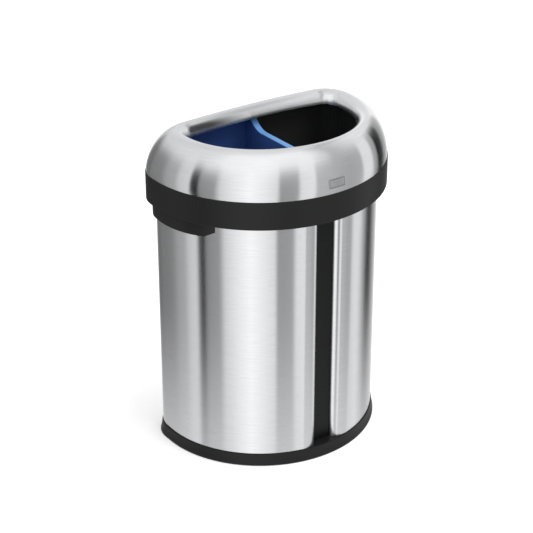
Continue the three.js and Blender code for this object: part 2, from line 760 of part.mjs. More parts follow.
/** Bare badge: the dome's own curve, thickened and trimmed to a rounded rectangle. */
function badgeGeometry() {
  const face = loft([...domeRings(seatGap + badgeThickness), ...domeRings(seatGap).reverse()], { closed: true });
  const [w, h, r] = [badgeWidth / 2, badgeHeight / 2, badgeCorner];
  const outline = new THREE.Shape();
  outline.moveTo(-w + r, -h);
  outline.lineTo(w - r, -h);
  outline.absarc(w - r, -h + r, r, -Math.PI / 2, 0, false);
  outline.absarc(w - r, h - r, r, 0, Math.PI / 2, false);
  outline.absarc(-w + r, h - r, r, Math.PI / 2, Math.PI, false);
  outline.absarc(-w + r, -h + r, r, Math.PI, Math.PI * 1.5, false);
  const reach = bodyFront + collarOverhang;
  const options = { depth: reach, bevelEnabled: false, curveSegments: badgeCornerSteps };
  const cutter = new THREE.ExtrudeGeometry(outline, options);
  cutter.rotateX(Math.PI / 2).translate(0, 0, collarTop + badgeAboveCollar);
  return geometryOf(solid(face).intersect(solid(cutter)));
}

// ---- Buckets ---------------------------------------------------------------------------------------

/** Half-D outline right of the divider: inset from the steel, divider place and the two divider corners. */
function bucketOutline(inset, divider, frontCorner, backCorner) {
  const points = [];
  const start = ellipseAngle(bodyPlan, (divider + frontCorner) * (bodyHalfWidth / (bodyHalfWidth - inset)));
  const join = ellipsePoint(bodyPlan, start, -inset);
  for (let i = 0; i <= frontSteps; i += 1) {
    points.push(ellipsePoint(bodyPlan, start * (1 - i / frontSteps), -inset));
  }
  const cornerX = bodyHalfWidth - bodyCornerRadius;
  const cornerY = bodyBack - bodyCornerRadius;
  for (let i = 0; i <= cornerSteps; i += 1) {
    const turn = (i / cornerSteps) * (Math.PI / 2);
    const reach = bodyCornerRadius - inset;
    points.push(new THREE.Vector2(cornerX + reach * Math.cos(turn), cornerY + reach * Math.sin(turn)));
  }
  for (let i = 0; i <= smallCornerSteps; i += 1) {
    const turn = (1 + i / smallCornerSteps) * (Math.PI / 2);
    const y = bodyBack - inset - backCorner + backCorner * Math.sin(turn);
    points.push(new THREE.Vector2(divider + backCorner * (1 + Math.cos(turn)), y));
  }
  for (let i = 0; i < cornerSteps; i += 1) {
    const turn = Math.PI + (i / cornerSteps) * (Math.PI / 2);
    const x = join.x + frontCorner * Math.cos(turn);
    points.push(new THREE.Vector2(x, join.y + frontCorner * (1 + Math.sin(turn))));
  }
  return points;
}

/** The divider's edge in the Y-Z plane, lowered by a drop and kept parallel round the scoop's arcs. */
function scoopEdge(drop, front, back) {
  const centreZ = rimTop - scoopDepth + scoopRadius;
  const radius = scoopRadius + drop;
  const rise = Math.asin((centreZ - rimTop + drop) / radius);
  const points = [new THREE.Vector2(front, rimTop - drop)];
  for (let i = 0; i <= scoopSteps; i += 1) {
    const turn = Math.PI + rise + (Math.PI / 2 - rise) * (i / scoopSteps);
    points.push(new THREE.Vector2(scoopFlatFront + radius * Math.cos(turn), centreZ + radius * Math.sin(turn)));
  }
  for (let i = 0; i <= scoopSteps; i += 1) {
    const turn = Math.PI * 1.5 + (Math.PI / 2 - rise) * (i / scoopSteps);
    points.push(new THREE.Vector2(scoopFlatBack + radius * Math.cos(turn), centreZ + radius * Math.sin(turn)));
  }
  points.push(new THREE.Vector2(back, rimTop - drop));
  return points;
}

/** The slab between two such edges, extruded across from x by a width. */
function scoopSlab(upper, lower, front, back, x, width) {
  const outline = [...scoopEdge(lower, front, back), ...scoopEdge(upper, front, back).reverse()];
  return solid(extrudeAcross(outline, x, width));
}

/** One bucket on the right of the divider: a drafted cup with a hanging flange and a beaded rim. */
function bucketCup(divider) {
  const foot = baseFloorTop + bucketFloorGap;
  const flangeFoot = frameTop + seatGap;
  const low = bucketInset + bucketDraft;
  const lowDivider = divider + bucketDraft / 2;
  const [front, back] = [frontCornerRadius, backCornerRadius];
  const lowBack = back - bucketDraft / 2;
  const outer = (inset) => bucketOutline(inset, divider, front, back);
  const inner = (inset, side, corner) => bucketOutline(
    inset + bucketWall, side + bucketWall, front - bucketWall, corner - bucketWall);
  const rings = [
    ringAt(bucketOutline(low + bucketFootChamfer, lowDivider + bucketFootChamfer,
      front - bucketFootChamfer, lowBack - bucketFootChamfer), foot),
    ringAt(bucketOutline(low, lowDivider, front, lowBack), foot + bucketFootChamfer),
    ringAt(outer(bucketInset), flangeFoot),
    ringAt(outer(bucketFlangeInset), flangeFoot),
    ringAt(outer(bucketFlangeInset), flangeFoot + bucketFlange),
    ringAt(outer(bucketInset), flangeFoot + bucketFlange),
    ringAt(outer(bucketInset), rimTop - bucketBeadHeight),
    ringAt(outer(bucketInset - bucketBead), rimTop - bucketBeadHeight),
    ringAt(outer(bucketInset - bucketBead), rimTop),
    ringAt(inner(bucketInset, divider, back), rimTop),
    ringAt(inner(bucketInset, divider, back), flangeFoot),
    ringAt(inner(low, lowDivider, lowBack), foot + bucketFootChamfer),
  ];
  return solid(loft(rings));
}

const bandFront = -bodyFront + bucketInset + frontCornerRadius + bandSetback;
const bandBack = bodyBack - bucketInset - backCornerRadius;
const scoopFront = scoopFlatFront - scoopReach;
const blueDivider = bandHalfWidth - bucketWall; // outer face of the blue bucket's divider wall
const blackDivider = bandHalfWidth - bandHookWall - slipGap - bucketWall;

/** Blue bucket on the left, whose rim band laps over the black bucket's divider wall. */
function blueBucketSolid() {
  const cup = bucketCup(blueDivider);
  const cut = scoopSlab(-scoopDepth, 0, scoopFront, bandBack, blueDivider - cutMargin, scoopWidth);
  const width = 2 * bandHalfWidth;
  const lap = scoopSlab(0, bandThickness, scoopFront, bandBack, -bandHalfWidth, width);
  const hook = scoopSlab(0, bandHook, scoopFront, bandBack, -bandHalfWidth, bandHookWall);
  const band = lap.add(hook).trimByPlane([0, 1, 0], bandFront);
  return cup.subtract(cut).add(band);
}

/** Black bucket on the right, its divider wall cut down to pass under the blue band. */
function blackBucketSolid() {
  const drop = bandThickness + seatGap;
  const [front, back] = [scoopFront - slipGap, bandBack + slipGap];
  const cut = scoopSlab(-scoopDepth, drop, front, back, blackDivider - cutMargin, scoopWidth);
  return bucketCup(blackDivider).subtract(cut);
}

// ---- Materials and assembly ------------------------------------------------------------------------

/** A finish with its colour, roughness and metalness. */
function finish(color, roughness, metalness) {
  return new THREE.MeshStandardMaterial({ color, roughness, metalness });
}

const brushedSteel = finish(0xc4c6c9, 0.32, 1);
const blackPlastic = finish(0x202123, 0.62, 0);
const stripPlastic = finish(0x1c1d1e, 0.5, 0);
const bluePlastic = finish(0x2f6fc4, 0.45, 0);
const bucketBlack = finish(0x18191a, 0.5, 0);
const rubber = finish(0x141414, 0.9, 0);
const zincSteel = finish(0x9a9ca0, 0.4, 1);

const bin = new THREE.Group();
bin.name = 'double_recycling_bin';
const planGroup = new THREE.Group();
planGroup.position.y = planCentreY;
bin.add(planGroup);

/** Adds one named piece, built about the plan's centre. */
function piece(name, geometry, material) {
  const mesh = new THREE.Mesh(geometry, material);
  mesh.name = name;
  planGroup.add(mesh);
  return mesh;
}

/** Adds a screw with its head's seat at a point and its head towards a direction. */
function addScrew(name, length, seat, headDirection) {
  const mesh = piece(name, screwGeometry(length), zincSteel);
  mesh.position.copy(seat);
  mesh.quaternion.setFromUnitVectors(new THREE.Vector3(0, 0, 1), headDirection);
}

piece('base_tray', baseGeometry(), blackPlastic);
padPlaces.forEach((pad, i) => {
  piece(`foot_pad_${i + 1}`, padGeometry(), rubber).position.set(pad.x, pad.y, 0);
});
piece('body_shell', bodyShellGeometry(), brushedSteel);
piece('front_channel', channelGeometry(), stripPlastic);
piece('top_frame', frameGeometry(), blackPlastic);

bodyScrewPlaces.forEach((place, i) => {
  const ledgeUnder = baseHeight - plasticWall;
  const seat = offWall(place, -baseScrewInset, ledgeUnder - seatGap);
  addScrew(`base_screw_${i + 1}`, baseScrewLength, seat, new THREE.Vector3(0, 0, -1));
  const outward = new THREE.Vector3(place.outward.x, place.outward.y, 0);
  addScrew(`frame_screw_${i + 1}`, frameScrewLength, offWall(place, seatGap, frameScrewHeight), outward);
});

const grip = gripSolid();
piece('grip_right', geometryOf(grip), blackPlastic);
piece('grip_left', geometryOf(grip.mirror([1, 0, 0])), blackPlastic);
gripScrewPlaces.forEach((place, i) => {
  const inward = new THREE.Vector3(-place.outward.x, -place.outward.y, 0);
  const seat = offWall(place, -bodySheet - seatGap, gripScrewHeight);
  addScrew(`grip_screw_${i + 1}`, gripScrewLength, seat, inward);
});

piece('lid_collar', collarGeometry(), blackPlastic);
piece('lid_dome', domeGeometry(), brushedSteel);
piece('lid_clamp_ring', clampGeometry(), blackPlastic);
lidScrewPlaces.forEach((place, i) => {
  const seat = offWall(place, lidScrewOffset, lidScrewSeat);
  addScrew(`lid_screw_${i + 1}`, lidScrewLength, seat, new THREE.Vector3(0, 0, 1));
});
piece('badge_plate', badgeGeometry(), brushedSteel);

piece('blue_bucket', geometryOf(blueBucketSolid().mirror([1, 0, 0])), bluePlastic);
piece('black_bucket', geometryOf(blackBucketSolid()), bucketBlack);

export default bin;
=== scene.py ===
"""Detailed visual model of a double recycling bin with a steel body and a lift-off open lid.

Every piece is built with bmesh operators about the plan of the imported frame, in metres, and rides
on the body of the frame that carries it. The studio is a pale floor in soft light.
"""

import logging
import math
from dataclasses import dataclass, field
from enum import Enum
from typing import Any, Callable, NamedTuple, Sequence

import bmesh
import bpy
import numpy as np
from mathutils import Matrix, Vector


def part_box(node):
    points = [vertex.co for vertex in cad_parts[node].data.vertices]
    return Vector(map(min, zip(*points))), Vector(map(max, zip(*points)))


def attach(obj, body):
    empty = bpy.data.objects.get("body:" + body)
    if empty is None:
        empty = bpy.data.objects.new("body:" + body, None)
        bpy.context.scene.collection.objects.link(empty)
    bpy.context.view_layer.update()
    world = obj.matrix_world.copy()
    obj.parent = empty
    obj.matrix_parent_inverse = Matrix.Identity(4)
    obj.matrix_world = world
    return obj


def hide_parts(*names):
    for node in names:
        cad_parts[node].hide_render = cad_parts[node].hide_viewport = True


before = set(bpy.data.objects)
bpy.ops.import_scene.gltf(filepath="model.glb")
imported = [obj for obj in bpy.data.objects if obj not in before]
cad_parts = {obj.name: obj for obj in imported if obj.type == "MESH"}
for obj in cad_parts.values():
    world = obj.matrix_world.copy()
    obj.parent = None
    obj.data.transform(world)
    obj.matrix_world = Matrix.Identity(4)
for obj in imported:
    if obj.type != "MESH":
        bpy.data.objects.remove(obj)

log = logging.getLogger("bin")
logging.basicConfig(level=logging.INFO, format="%(name)s: %(message)s")

Row = list[Vector]
Pair = tuple[float, float]
Triple = tuple[float, float, float]
Profile = Sequence[tuple[float, ...]]
Mesh = bmesh.types.BMesh
Socket = bpy.types.NodeSocket
Value = Any
Inputs = dict[Any, Value]

QUARTER = math.pi / 2
MERGE = 1e-6
DEGENERATE = 1e-7
TINY = 1e-9
UV_MAP = "metres"
SHARP_ANGLE = math.radians(38)

# Measures that several pieces share
SEAT_GAP = 0.0003
SHEET = 0.0008
WALL = 0.003
GROOVE_HALF_WIDTH = 0.0235
GROOVE_DEPTH = 0.023
CHANNEL_HALF_WIDTH = 0.0268
CHANNEL_BACK = 0.0318
ROLL_END = 0.0695
BASE_TOP = 0.0305
COLLAR_FOOT = 0.6315
COLLAR_TOP = 0.6985
FRAME_TOP = 0.6952
RIM_TOP = 0.772

# Rounding radii of the profiles
CRISP = 0.0002
TIGHT = 0.0004
FINE = 0.0005
EDGE = 0.0006
SOFT = 0.0008
FULL = 0.0012


class Body(Enum):
    """The frame's moving bodies."""

    BODY = "body"
    LID = "lid"
    BLUE = "blue_bucket"
    BLACK = "black_bucket"


# ---- Plan outlines ---------------------------------------------------------------------------------


def arc(centre: Vector, radius: float, start: float, sweep: float, steps: int) -> Row:
    """Points on an arc, both ends included."""
    turns = [start + sweep * i / steps for i in range(steps + 1)]
    return [centre + Vector((math.cos(turn), math.sin(turn))) * radius for turn in turns]


def between(start: Vector, end: Vector, steps: int) -> Row:
    """Evenly spaced points between two, both ends left out."""
    (x, y), (dx, dy) = start, end - start
    return [Vector((x + dx * i / steps, y + dy * i / steps)) for i in range(1, steps)]


def both_sides(half: Row) -> Row:
    """A right half, then its mirror image backwards, with the centre line's points once."""
    return half + [Vector((-p.x, p.y)) for p in reversed(half) if p.x > 0]


def clamped(value: float, low: float = 0.0, high: float = 1.0) -> float:
    """A value kept between two limits."""
    return max(low, min(high, value))


@dataclass(frozen=True)
class Groove:
    """A notch that an outline follows behind the front channel, from the plan's centre."""

    half_width: float
    floor_y: float


@dataclass(frozen=True)
class Plan:
    """Half an ellipse in front, short straight sides, round back corners and a flat back."""

    half_width: float = 0.2735
    front: float = 0.265
    back: float = 0.089
    corner: float = 0.067
    centre_y: float = 0.088
    flat_steps: int = 6
    roll_steps: int = 18
    front_steps: int = 66
    side_steps: int = 2
    corner_steps: int = 20
    back_steps: int = 16

    def front_point(self, angle: float, offset: float) -> Vector:
        """A point on the front half-ellipse, moved outwards; angle 0 is the right side."""
        out = Vector((self.front * math.cos(angle), self.half_width * math.sin(angle))).normalized()
        return Vector((
            self.half_width * math.cos(angle) + out.x * offset,
            self.centre_y + self.front * math.sin(angle) + out.y * offset,
        ))

    def front_row(self, start: float, offset: float, steps: int) -> Row:
        """Points on the front half-ellipse from an angle round to the right side."""
        return [self.front_point(start * (1 - i / steps), offset) for i in range(steps + 1)]

    def angle_at(self, across: float) -> float:
        """The angle at which the front half-ellipse stands a distance right of its middle."""
        return -math.acos(clamped(across / self.half_width, -1.0))

    def corner_row(self, offset: float, steps: int) -> Row:
        """The rounded back right corner."""
        centre = Vector((self.half_width - self.corner, self.centre_y + self.back - self.corner))
        return arc(centre, self.corner + offset, 0.0, QUARTER, steps)

    def half(self, offset: float, groove: Groove | None = None) -> Row:
        """The right half from the front centre line to the back centre line.

        Args:
            offset: How far the outline stands outside the plan.
            groove: The notch in front, if the outline follows one.

        Returns:
            The points, the first and last of them on the centre line.
        """
        edge = groove.half_width if groove else GROOVE_HALF_WIDTH
        spots = [(edge * i / self.flat_steps, 1.0) for i in range(self.flat_steps)]
        for i in range(self.roll_steps, 0, -1):
            turn = i / self.roll_steps * QUARTER
            spots.append((edge + (ROLL_END - edge) * (1 - math.sin(turn)), 1 - math.cos(turn)))
        points = []
        for across, depth in spots:
            point = self.front_point(self.angle_at(across), offset)
            if groove:
                floor = self.centre_y + groove.floor_y
                point = Vector((across, point.y + (floor - point.y) * depth))
            points.append(point)
        points[0].x = 0.0
        points += self.front_row(self.angle_at(ROLL_END), offset, self.front_steps)
        corner = self.corner_row(offset, self.corner_steps)
        points += between(points[-1], corner[0], self.side_steps) + corner
        end = Vector((0.0, corner[-1].y))
        return points + between(corner[-1], end, self.back_steps) + [end]

    def outline(self, offset: float = 0.0, groove: Groove | None = None) -> Row:
        """The whole outline, counterclockwise from above, from the front centre line."""
        return both_sides(self.half(offset, groove))


BODY_PLAN = Plan()
LIP_PLAN = Plan(half_width=0.211, front=0.207, back=0.0335, corner=0.032, centre_y=0.0745)


def inner_outline(inset: float) -> Row:
    """The outline inside the steel that passes behind the front channel."""
    past = inset - SHEET
    groove = Groove(CHANNEL_HALF_WIDTH + past, -BODY_PLAN.front + CHANNEL_BACK + past)
    return BODY_PLAN.outline(-inset, groove)


# ---- Profiles --------------------------------------------------------------------------------------

# The longest rounding as a share of its arm; where a support point goes, and the room it needs
ARM_SHARE = 0.45
SUPPORT = 1.25
SUPPORT_ROOM = 2.6


class Corner(NamedTuple):
    """A corner of a profile: offset, height, rounding radius and a share that goes along with it."""

    out: float
    up: float
    radius: float = 0.0
    share: float = 0.0


class Arm:
    """The line from a profile's corner towards its neighbour."""

    def __init__(self, corner: Corner, other: Corner) -> None:
        """Measures the line."""
        self.here = Vector((corner.out, corner.up))
        span = Vector((other.out, other.up)) - self.here
        self.along, self.length = span.normalized(), span.length
        self.start, self.gain = corner.share, other.share - corner.share

    def point(self, distance: float) -> Vector:
        """The point at a distance from the corner."""
        return self.here + self.along * distance

    def share(self, distance: float) -> float:
        """The share at a distance from the corner."""
        return self.start + self.gain * distance / self.length

    def support(self, reach: float) -> list[Triple]:
        """A station just past a rounding, where there is room for it."""
        if self.length <= reach * SUPPORT_ROOM:
            return []
        return [(*self.point(reach * SUPPORT), self.share(reach * SUPPORT))]


def bent(profile: Profile) -> list[tuple[Corner, Arm, Arm]]:
    """A profile's corners, each with the lines to the one before it and the one after it."""
    corners = [Corner(*corner) for corner in profile]
    following = corners[1:] + corners[:1]
    return [
        (here, Arm(here, before), Arm(here, after))
        for here, before, after in zip(corners, corners[-1:] + corners, following)
    ]


def rounded(profile: Profile, closed: bool = True, steps: int = 5) -> list[Triple]:
    """A profile with its corners turned into arcs, and support points beside each arc.

    Args:
        profile: The corners in order, each an offset, a height, a rounding radius and a share.
        closed: Whether the last corner is joined to the first.
        steps: How many steps a quarter turn has.

    Returns:
        Offset, height and share of every station.
    """
    stations: list[Triple] = []
    for i, (corner, before, after) in enumerate(bent(profile)):
        if corner.radius <= 0 or (not closed and i in (0, len(profile) - 1)):
            stations.append((corner.out, corner.up, corner.share))
            continue
        half = before.along.angle(after.along) / 2
        reach = min(corner.radius / math.tan(half), before.length * ARM_SHARE, after.length * ARM_SHARE)
        radius = reach * math.tan(half)
        centre = before.here + (before.along + after.along).normalized() * (radius / math.sin(half))
        first, last = before.point(reach) - centre, after.point(reach) - centre
        begin = math.atan2(first.y, first.x)
        sweep = (math.atan2(last.y, last.x) - begin + math.pi) % (2 * math.pi) - math.pi
        parts = max(2, round(steps * abs(sweep) / QUARTER))
        low, high = before.share(reach), after.share(reach)
        stations += before.support(reach)
        for k, p in enumerate(arc(centre, radius, begin, sweep, parts)):
            stations.append((p.x, p.y, low + (high - low) * k / parts))
        stations += after.support(reach)
    return stations


# ---- Mesh building ---------------------------------------------------------------------------------


def lift(outline: Row, height: float) -> Row:
    """A plan outline at a height."""
    return [Vector((p.x, p.y, height)) for p in outline]


def distances(row: Row) -> list[float]:
    """Distances along a closed row from its first point; past half way round they count down to it."""
    total = [0.0]
    for a, b in zip(row, row[1:]):
        total.append(total[-1] + (b - a).length)
    length = total[-1] + (row[0] - row[-1]).length
    return [d if d <= length / 2 + TINY else d - length for d in total]


def skin(rows: Sequence[Row], closed: bool = False, capped: bool = False, bm: Mesh | None = None) -> Mesh:
    """Extrudes a ring of edges from row to row and lays a UV map in metres on its faces.

    Args:
        rows: Closed rows of equally many points.
        closed: Whether the last row is joined to the first.
        capped: Whether the first and last rows are filled.
        bm: The mesh that receives the faces, or none for a new one.

    Returns:
        The mesh.
    """
    if bm is None:
        bm = bmesh.new()
    column = bm.verts.layers.int.get("column") or bm.verts.layers.int.new("column")
    station = bm.verts.layers.int.get("station") or bm.verts.layers.int.new("station")
    uv = bm.loops.layers.uv.get(UV_MAP) or bm.loops.layers.uv.new(UV_MAP)
    rows = [*rows, rows[0]] if closed else list(rows)
    count = len(rows[0])
    ring = bmesh.ops.create_circle(bm, segments=count, radius=1.0)["verts"]
    for vert in ring:
        vert[column] = round(math.atan2(vert.co.y, vert.co.x) / (2 * math.pi) * count) % count
    edges = list(dict.fromkeys(edge for vert in ring for edge in vert.link_edges))
    borders, placed = [edges], []
    for number, row in enumerate(rows):
        if number:
            grown = bmesh.ops.extrude_edge_only(bm, edges=edges)["geom"]
            ring = [g for g in grown if isinstance(g, bmesh.types.BMVert)]
            fresh = set(ring)
            edges = [g for g in grown if isinstance(g, bmesh.types.BMEdge) and set(g.verts) <= fresh]
        for vert in ring:
            vert.co = row[vert[column]]
            vert[station] = number
        placed += ring
    along = [distances(row) for row in rows]
    length = 2 * max(along[0])
    across = [0.0]
    for a, b in zip(rows, rows[1:]):
        across.append(across[-1] + sum((q - p).length for p, q in zip(a, b)) / count)
    for face in {face for vert in placed for face in vert.link_faces}:
        spots = [(along[lp.vert[station]][lp.vert[column]], across[lp.vert[station]]) for lp in face.loops]
        us = [u for u, _ in spots]
        seam = max(us) - min(us) > length / 2
        for loop, (u, v) in zip(face.loops, spots):
            loop[uv].uv = (u + length if seam and u < 0 else u, v)
    if capped:
        for border in (*borders, edges):
            for face in bmesh.ops.edgeloop_fill(bm, edges=border)["faces"]:
                for loop in face.loops:
                    loop[uv].uv = loop.vert.co.xy
    if closed:
        bmesh.ops.remove_doubles(bm, verts=placed, dist=MERGE)
    return bm


def circles(stations: Sequence[Triple], segments: int) -> list[list[Pair]]:
    """Rows of one radius and one height each."""
    return [[(out, up)] * segments for out, up, _ in stations]


def turned(rows: Sequence[Sequence[Pair]], place: Vector, line: Vector) -> Mesh:
    """A mesh of rows of radius and height, each going round a line from a place."""
    count = len(rows[0])
    turns = [2 * math.pi * i / count for i in range(count)]
    lean = line.to_track_quat("Z", "Y")
    return skin([
        [place + lean @ Vector((r * math.cos(t), r * math.sin(t), z)) for t, (r, z) in zip(turns, row)]
        for row in rows
    ], capped=True)


def put(name: str, data: bpy.types.ID) -> bpy.types.Object:
    """An object of some data in the scene."""
    made = bpy.data.objects.new(name, data)
    bpy.context.scene.collection.objects.link(made)
    return made


def object_of(bm: Mesh, name: str, material: bpy.types.Material) -> bpy.types.Object:
    """An object in the scene from a mesh under construction, which is freed."""
    mesh = bpy.data.meshes.new(name)
    bm.to_mesh(mesh)
    bm.free()
    mesh.materials.append(material)
    return put(name, mesh)


# ---- Finishes --------------------------------------------------------------------------------------


class Tree:
    """A node tree with short calls for adding and joining nodes; a value is a number or a socket."""

    def __init__(self, tree: bpy.types.NodeTree) -> None:
        """Takes the tree over."""
        self.tree = tree

    def add(self, kind: str, inputs: Inputs | None = None, **settings: Any) -> bpy.types.Node:
        """Adds a node, with values or links for its inputs and other settings by name."""
        node = self.tree.nodes.new(kind)
        for key, value in settings.items():
            setattr(node, key, value)
        for key, value in (inputs or {}).items():
            if isinstance(value, Socket):
                self.tree.links.new(value, node.inputs[key])
            else:
                node.inputs[key].default_value = value
        return node

    def math(self, operation: str, first: Value, second: Value) -> Socket:
        """The result of a math node."""
        return self.add("ShaderNodeMath", {0: first, 1: second}, operation=operation).outputs[0]

    def mix(self, share: Value, first: Value, second: Value) -> Socket:
        """A colour between two by a share."""
        return self.add("ShaderNodeMix", {0: share, 6: first, 7: second}, data_type="RGBA").outputs[2]

    def remap(self, value: Value, source: Pair, target: Pair) -> Socket:
        """A value moved from one range to another."""
        return self.add("ShaderNodeMapRange", dict(enumerate((value, *source, *target)))).outputs[0]

    def noise(self, vector: Socket, scale: float, detail: float = 2.0) -> Socket:
        """A noise value at a scale."""
        return self.add("ShaderNodeTexNoise", {"Vector": vector, "Scale": scale, "Detail": detail}).outputs[0]

    def bump(self, height: Socket, strength: float, distance: float) -> Socket:
        """A normal from a height."""
        inputs = {"Height": height, "Strength": strength, "Distance": distance}
        return self.add("ShaderNodeBump", inputs).outputs[0]

    def shared(self, name: str, vector: Socket, outs: Sequence[str], build: Callable) -> list[Socket]:
        """The outputs of a shared node group, which is made at the first call.

        Args:
            name: The group's name.
            vector: What the group reads.
            outs: The names of the values it gives.
            build: Fills the group and returns a socket for each value.

        Returns:
            The outputs of the group's node.
        """
        made = bpy.data.node_groups.get(name)
        if not made:
            made = bpy.data.node_groups.new(name, "ShaderNodeTree")
            made.interface.new_socket("Vector", in_out="INPUT", socket_type="NodeSocketVector")
            for out in outs:
                made.interface.new_socket(out, in_out="OUTPUT", socket_type="NodeSocketFloat")
            inner = Tree(made)
            results = build(inner, inner.add("NodeGroupInput").outputs[0])
            inner.add("NodeGroupOutput", dict(zip(outs, results)))
        return list(self.add("ShaderNodeGroup", {"Vector": vector}, node_tree=made).outputs)


def new_material(name: str) -> tuple[bpy.types.Material, Tree]:
    """A material with an empty tree."""
    material = bpy.data.materials.new(name)
    material["dressed"] = True
    material.use_nodes = True
    material.node_tree.nodes.clear()
    return material, Tree(material.node_tree)


def principled(name: str, recipe: Callable[[Tree], Inputs]) -> bpy.types.Material:
    """A material whose principled shader takes its inputs from a recipe."""
    material, tree = new_material(name)
    shader = tree.add("ShaderNodeBsdfPrincipled", recipe(tree))
    tree.add("ShaderNodeOutputMaterial", {"Surface": shader.outputs[0]})
    return material


class Finish:
    """A surface finish that makes its material once, with the record's slot that it fills."""

    name: str = ""
    slot: str = ""

    def inputs(self, tree: Tree) -> Inputs:
        """The principled shader's inputs."""
        raise NotImplementedError

    def material(self) -> bpy.types.Material:
        """The material, made at the first call."""
        made = bpy.data.materials.get(self.name)
        return made if made and made.get("dressed") else principled(self.name, self.inputs)


HAIRLINES = ((16.0, 2600.0, 0.5), (40.0, 5200.0, 0.38), (7.0, 1300.0, 0.12))
HAIRLINE_RANGE = (0.32, 0.68)
HAIRLINE_DEPTH = 0.00004
ACROSS_THE_GRAIN = 0.25
NOISE_RANGE = (0.3, 0.7)
MOULD_GRAIN, MOULD_CLOUD, MOULD_DEPTH = 2600.0, 9.0, 0.00003
ZINC_CLOUD = 900.0


def hairlines(tree: Tree, vector: Socket) -> tuple[Socket]:
    """Fine hairlines along U, in three widths, from UV coordinates in metres."""
    total: Value = 0.0
    for stretch, density, weight in HAIRLINES:
        inputs = {0: vector, 1: (stretch, density, 1.0)}
        scaled = tree.add("ShaderNodeVectorMath", inputs, operation="MULTIPLY").outputs[0]
        total = tree.math("ADD", total, tree.math("MULTIPLY", tree.noise(scaled, 1.0), weight))
    return (tree.remap(total, HAIRLINE_RANGE, (0, 1)),)


def mould_texture(tree: Tree, vector: Socket) -> tuple[Socket, Socket]:
    """Fine moulded texture and wide, faint unevenness from object coordinates."""
    return tree.noise(vector, MOULD_GRAIN), tree.noise(vector, MOULD_CLOUD, 3.0)


@dataclass(frozen=True)
class BrushedSteel(Finish):
    """Stainless sheet brushed along its length, so that reflections stretch across the grain."""

    name: str = "steel_grained"
    slot: str = "brushed_steel"
    dark: tuple[float, ...] = (0.63, 0.635, 0.65, 1)
    light: tuple[float, ...] = (0.80, 0.805, 0.815, 1)
    rough: Pair = (0.22, 0.15)
    relief: float = 0.10

    def inputs(self, tree: Tree) -> Inputs:
        """The principled shader's inputs."""
        uv = tree.add("ShaderNodeUVMap", uv_map=UV_MAP).outputs[0]
        lines, = tree.shared("hairlines", uv, ("Lines",), hairlines)
        return {
            "Base Color": tree.mix(lines, self.dark, self.light),
            "Roughness": tree.remap(lines, (0, 1), self.rough),
            "Normal": tree.bump(lines, self.relief, HAIRLINE_DEPTH),
            "Tangent": tree.add("ShaderNodeTangent", direction_type="UV_MAP", uv_map=UV_MAP).outputs[0],
            "Metallic": 1.0,
            "Anisotropic": 1.0,
            "Anisotropic Rotation": ACROSS_THE_GRAIN,
        }


@dataclass(frozen=True)
class Moulded(Finish):
    """Injection-moulded plastic with a fine grain."""

    name: str = "plastic_black"
    slot: str = "black_plastic"
    colour: Triple = (0.011, 0.0112, 0.012)
    roughness: float = 0.46
    relief: float = 0.25
    specular: float = 0.25
    spread: float = 0.08
    fading: Pair = (0.9, 1.1)

    def inputs(self, tree: Tree) -> Inputs:
        """The principled shader's inputs."""
        place = tree.add("ShaderNodeTexCoord").outputs["Object"]
        fine, wide = tree.shared("moulded_texture", place, ("Fine", "Wide"), mould_texture)
        low, high = ((*(c * share for c in self.colour), 1) for share in self.fading)
        rough = (self.roughness - self.spread / 2, self.roughness + self.spread / 2)
        return {
            "Base Color": tree.mix(wide, low, high),
            "Roughness": tree.remap(fine, NOISE_RANGE, rough),
            "Normal": tree.bump(fine, self.relief, MOULD_DEPTH),
            "Specular IOR Level": self.specular,
        }


@dataclass(frozen=True)
class Plated(Finish):
    """Zinc-plated steel of the screws."""

    name: str = "zinc_screws"
    slot: str = "zinc_steel"
    dark: tuple[float, ...] = (0.45, 0.46, 0.48, 1)
    light: tuple[float, ...] = (0.68, 0.69, 0.70, 1)
    rough: Pair = (0.45, 0.3)

    def inputs(self, tree: Tree) -> Inputs:
        """The principled shader's inputs."""
        cloud = tree.noise(tree.add("ShaderNodeTexCoord").outputs["Object"], ZINC_CLOUD, 3.0)
        return {
            "Base Color": tree.mix(cloud, self.dark, self.light),
            "Roughness": tree.remap(cloud, NOISE_RANGE, self.rough),
            "Metallic": 1.0,
        }


STEEL = BrushedSteel()
BADGE_STEEL = BrushedSteel(
    "steel_badge_plate", "badge_steel", (0.48, 0.485, 0.495, 1), (0.66, 0.665, 0.675, 1), (0.36, 0.26)
)
BADGE_BORDER = BrushedSteel(
    "steel_badge_border", "badge_steel", (0.10, 0.10, 0.105, 1), (0.16, 0.16, 0.165, 1), (0.5, 0.4)
)
BLACK = Moulded()
STRIP = Moulded("plastic_strip", "strip_plastic", (0.006, 0.0062, 0.0066), 0.4, specular=0.2)
# The bucket's one blue plastic in two copies: a darker one for the cup, painted shade of its shaded inside,
# and a lighter one for the rim band, painted light of its lit top.
BLUE = Moulded("plastic_blue_painted_shade", "blue_plastic", (0.058, 0.135, 0.40), 0.34, 0.15, 0.5)
LIT_BAND_BLUE_PAINTED = Moulded("plastic_blue_painted_lit", "blue_plastic", (0.15, 0.37, 0.74), 0.42, 0.15, 0.4)
BUCKET_BLACK = Moulded("plastic_bucket_black", "bucket_black", (0.040, 0.0405, 0.042), 0.34, 0.15, 0.5)
RUBBER = Moulded("rubber_foot_sole", "rubber", (0.012, 0.012, 0.012), 0.85, 0.4)
ZINC = Plated()


# ---- Pieces ----------------------------------------------------------------------------------------


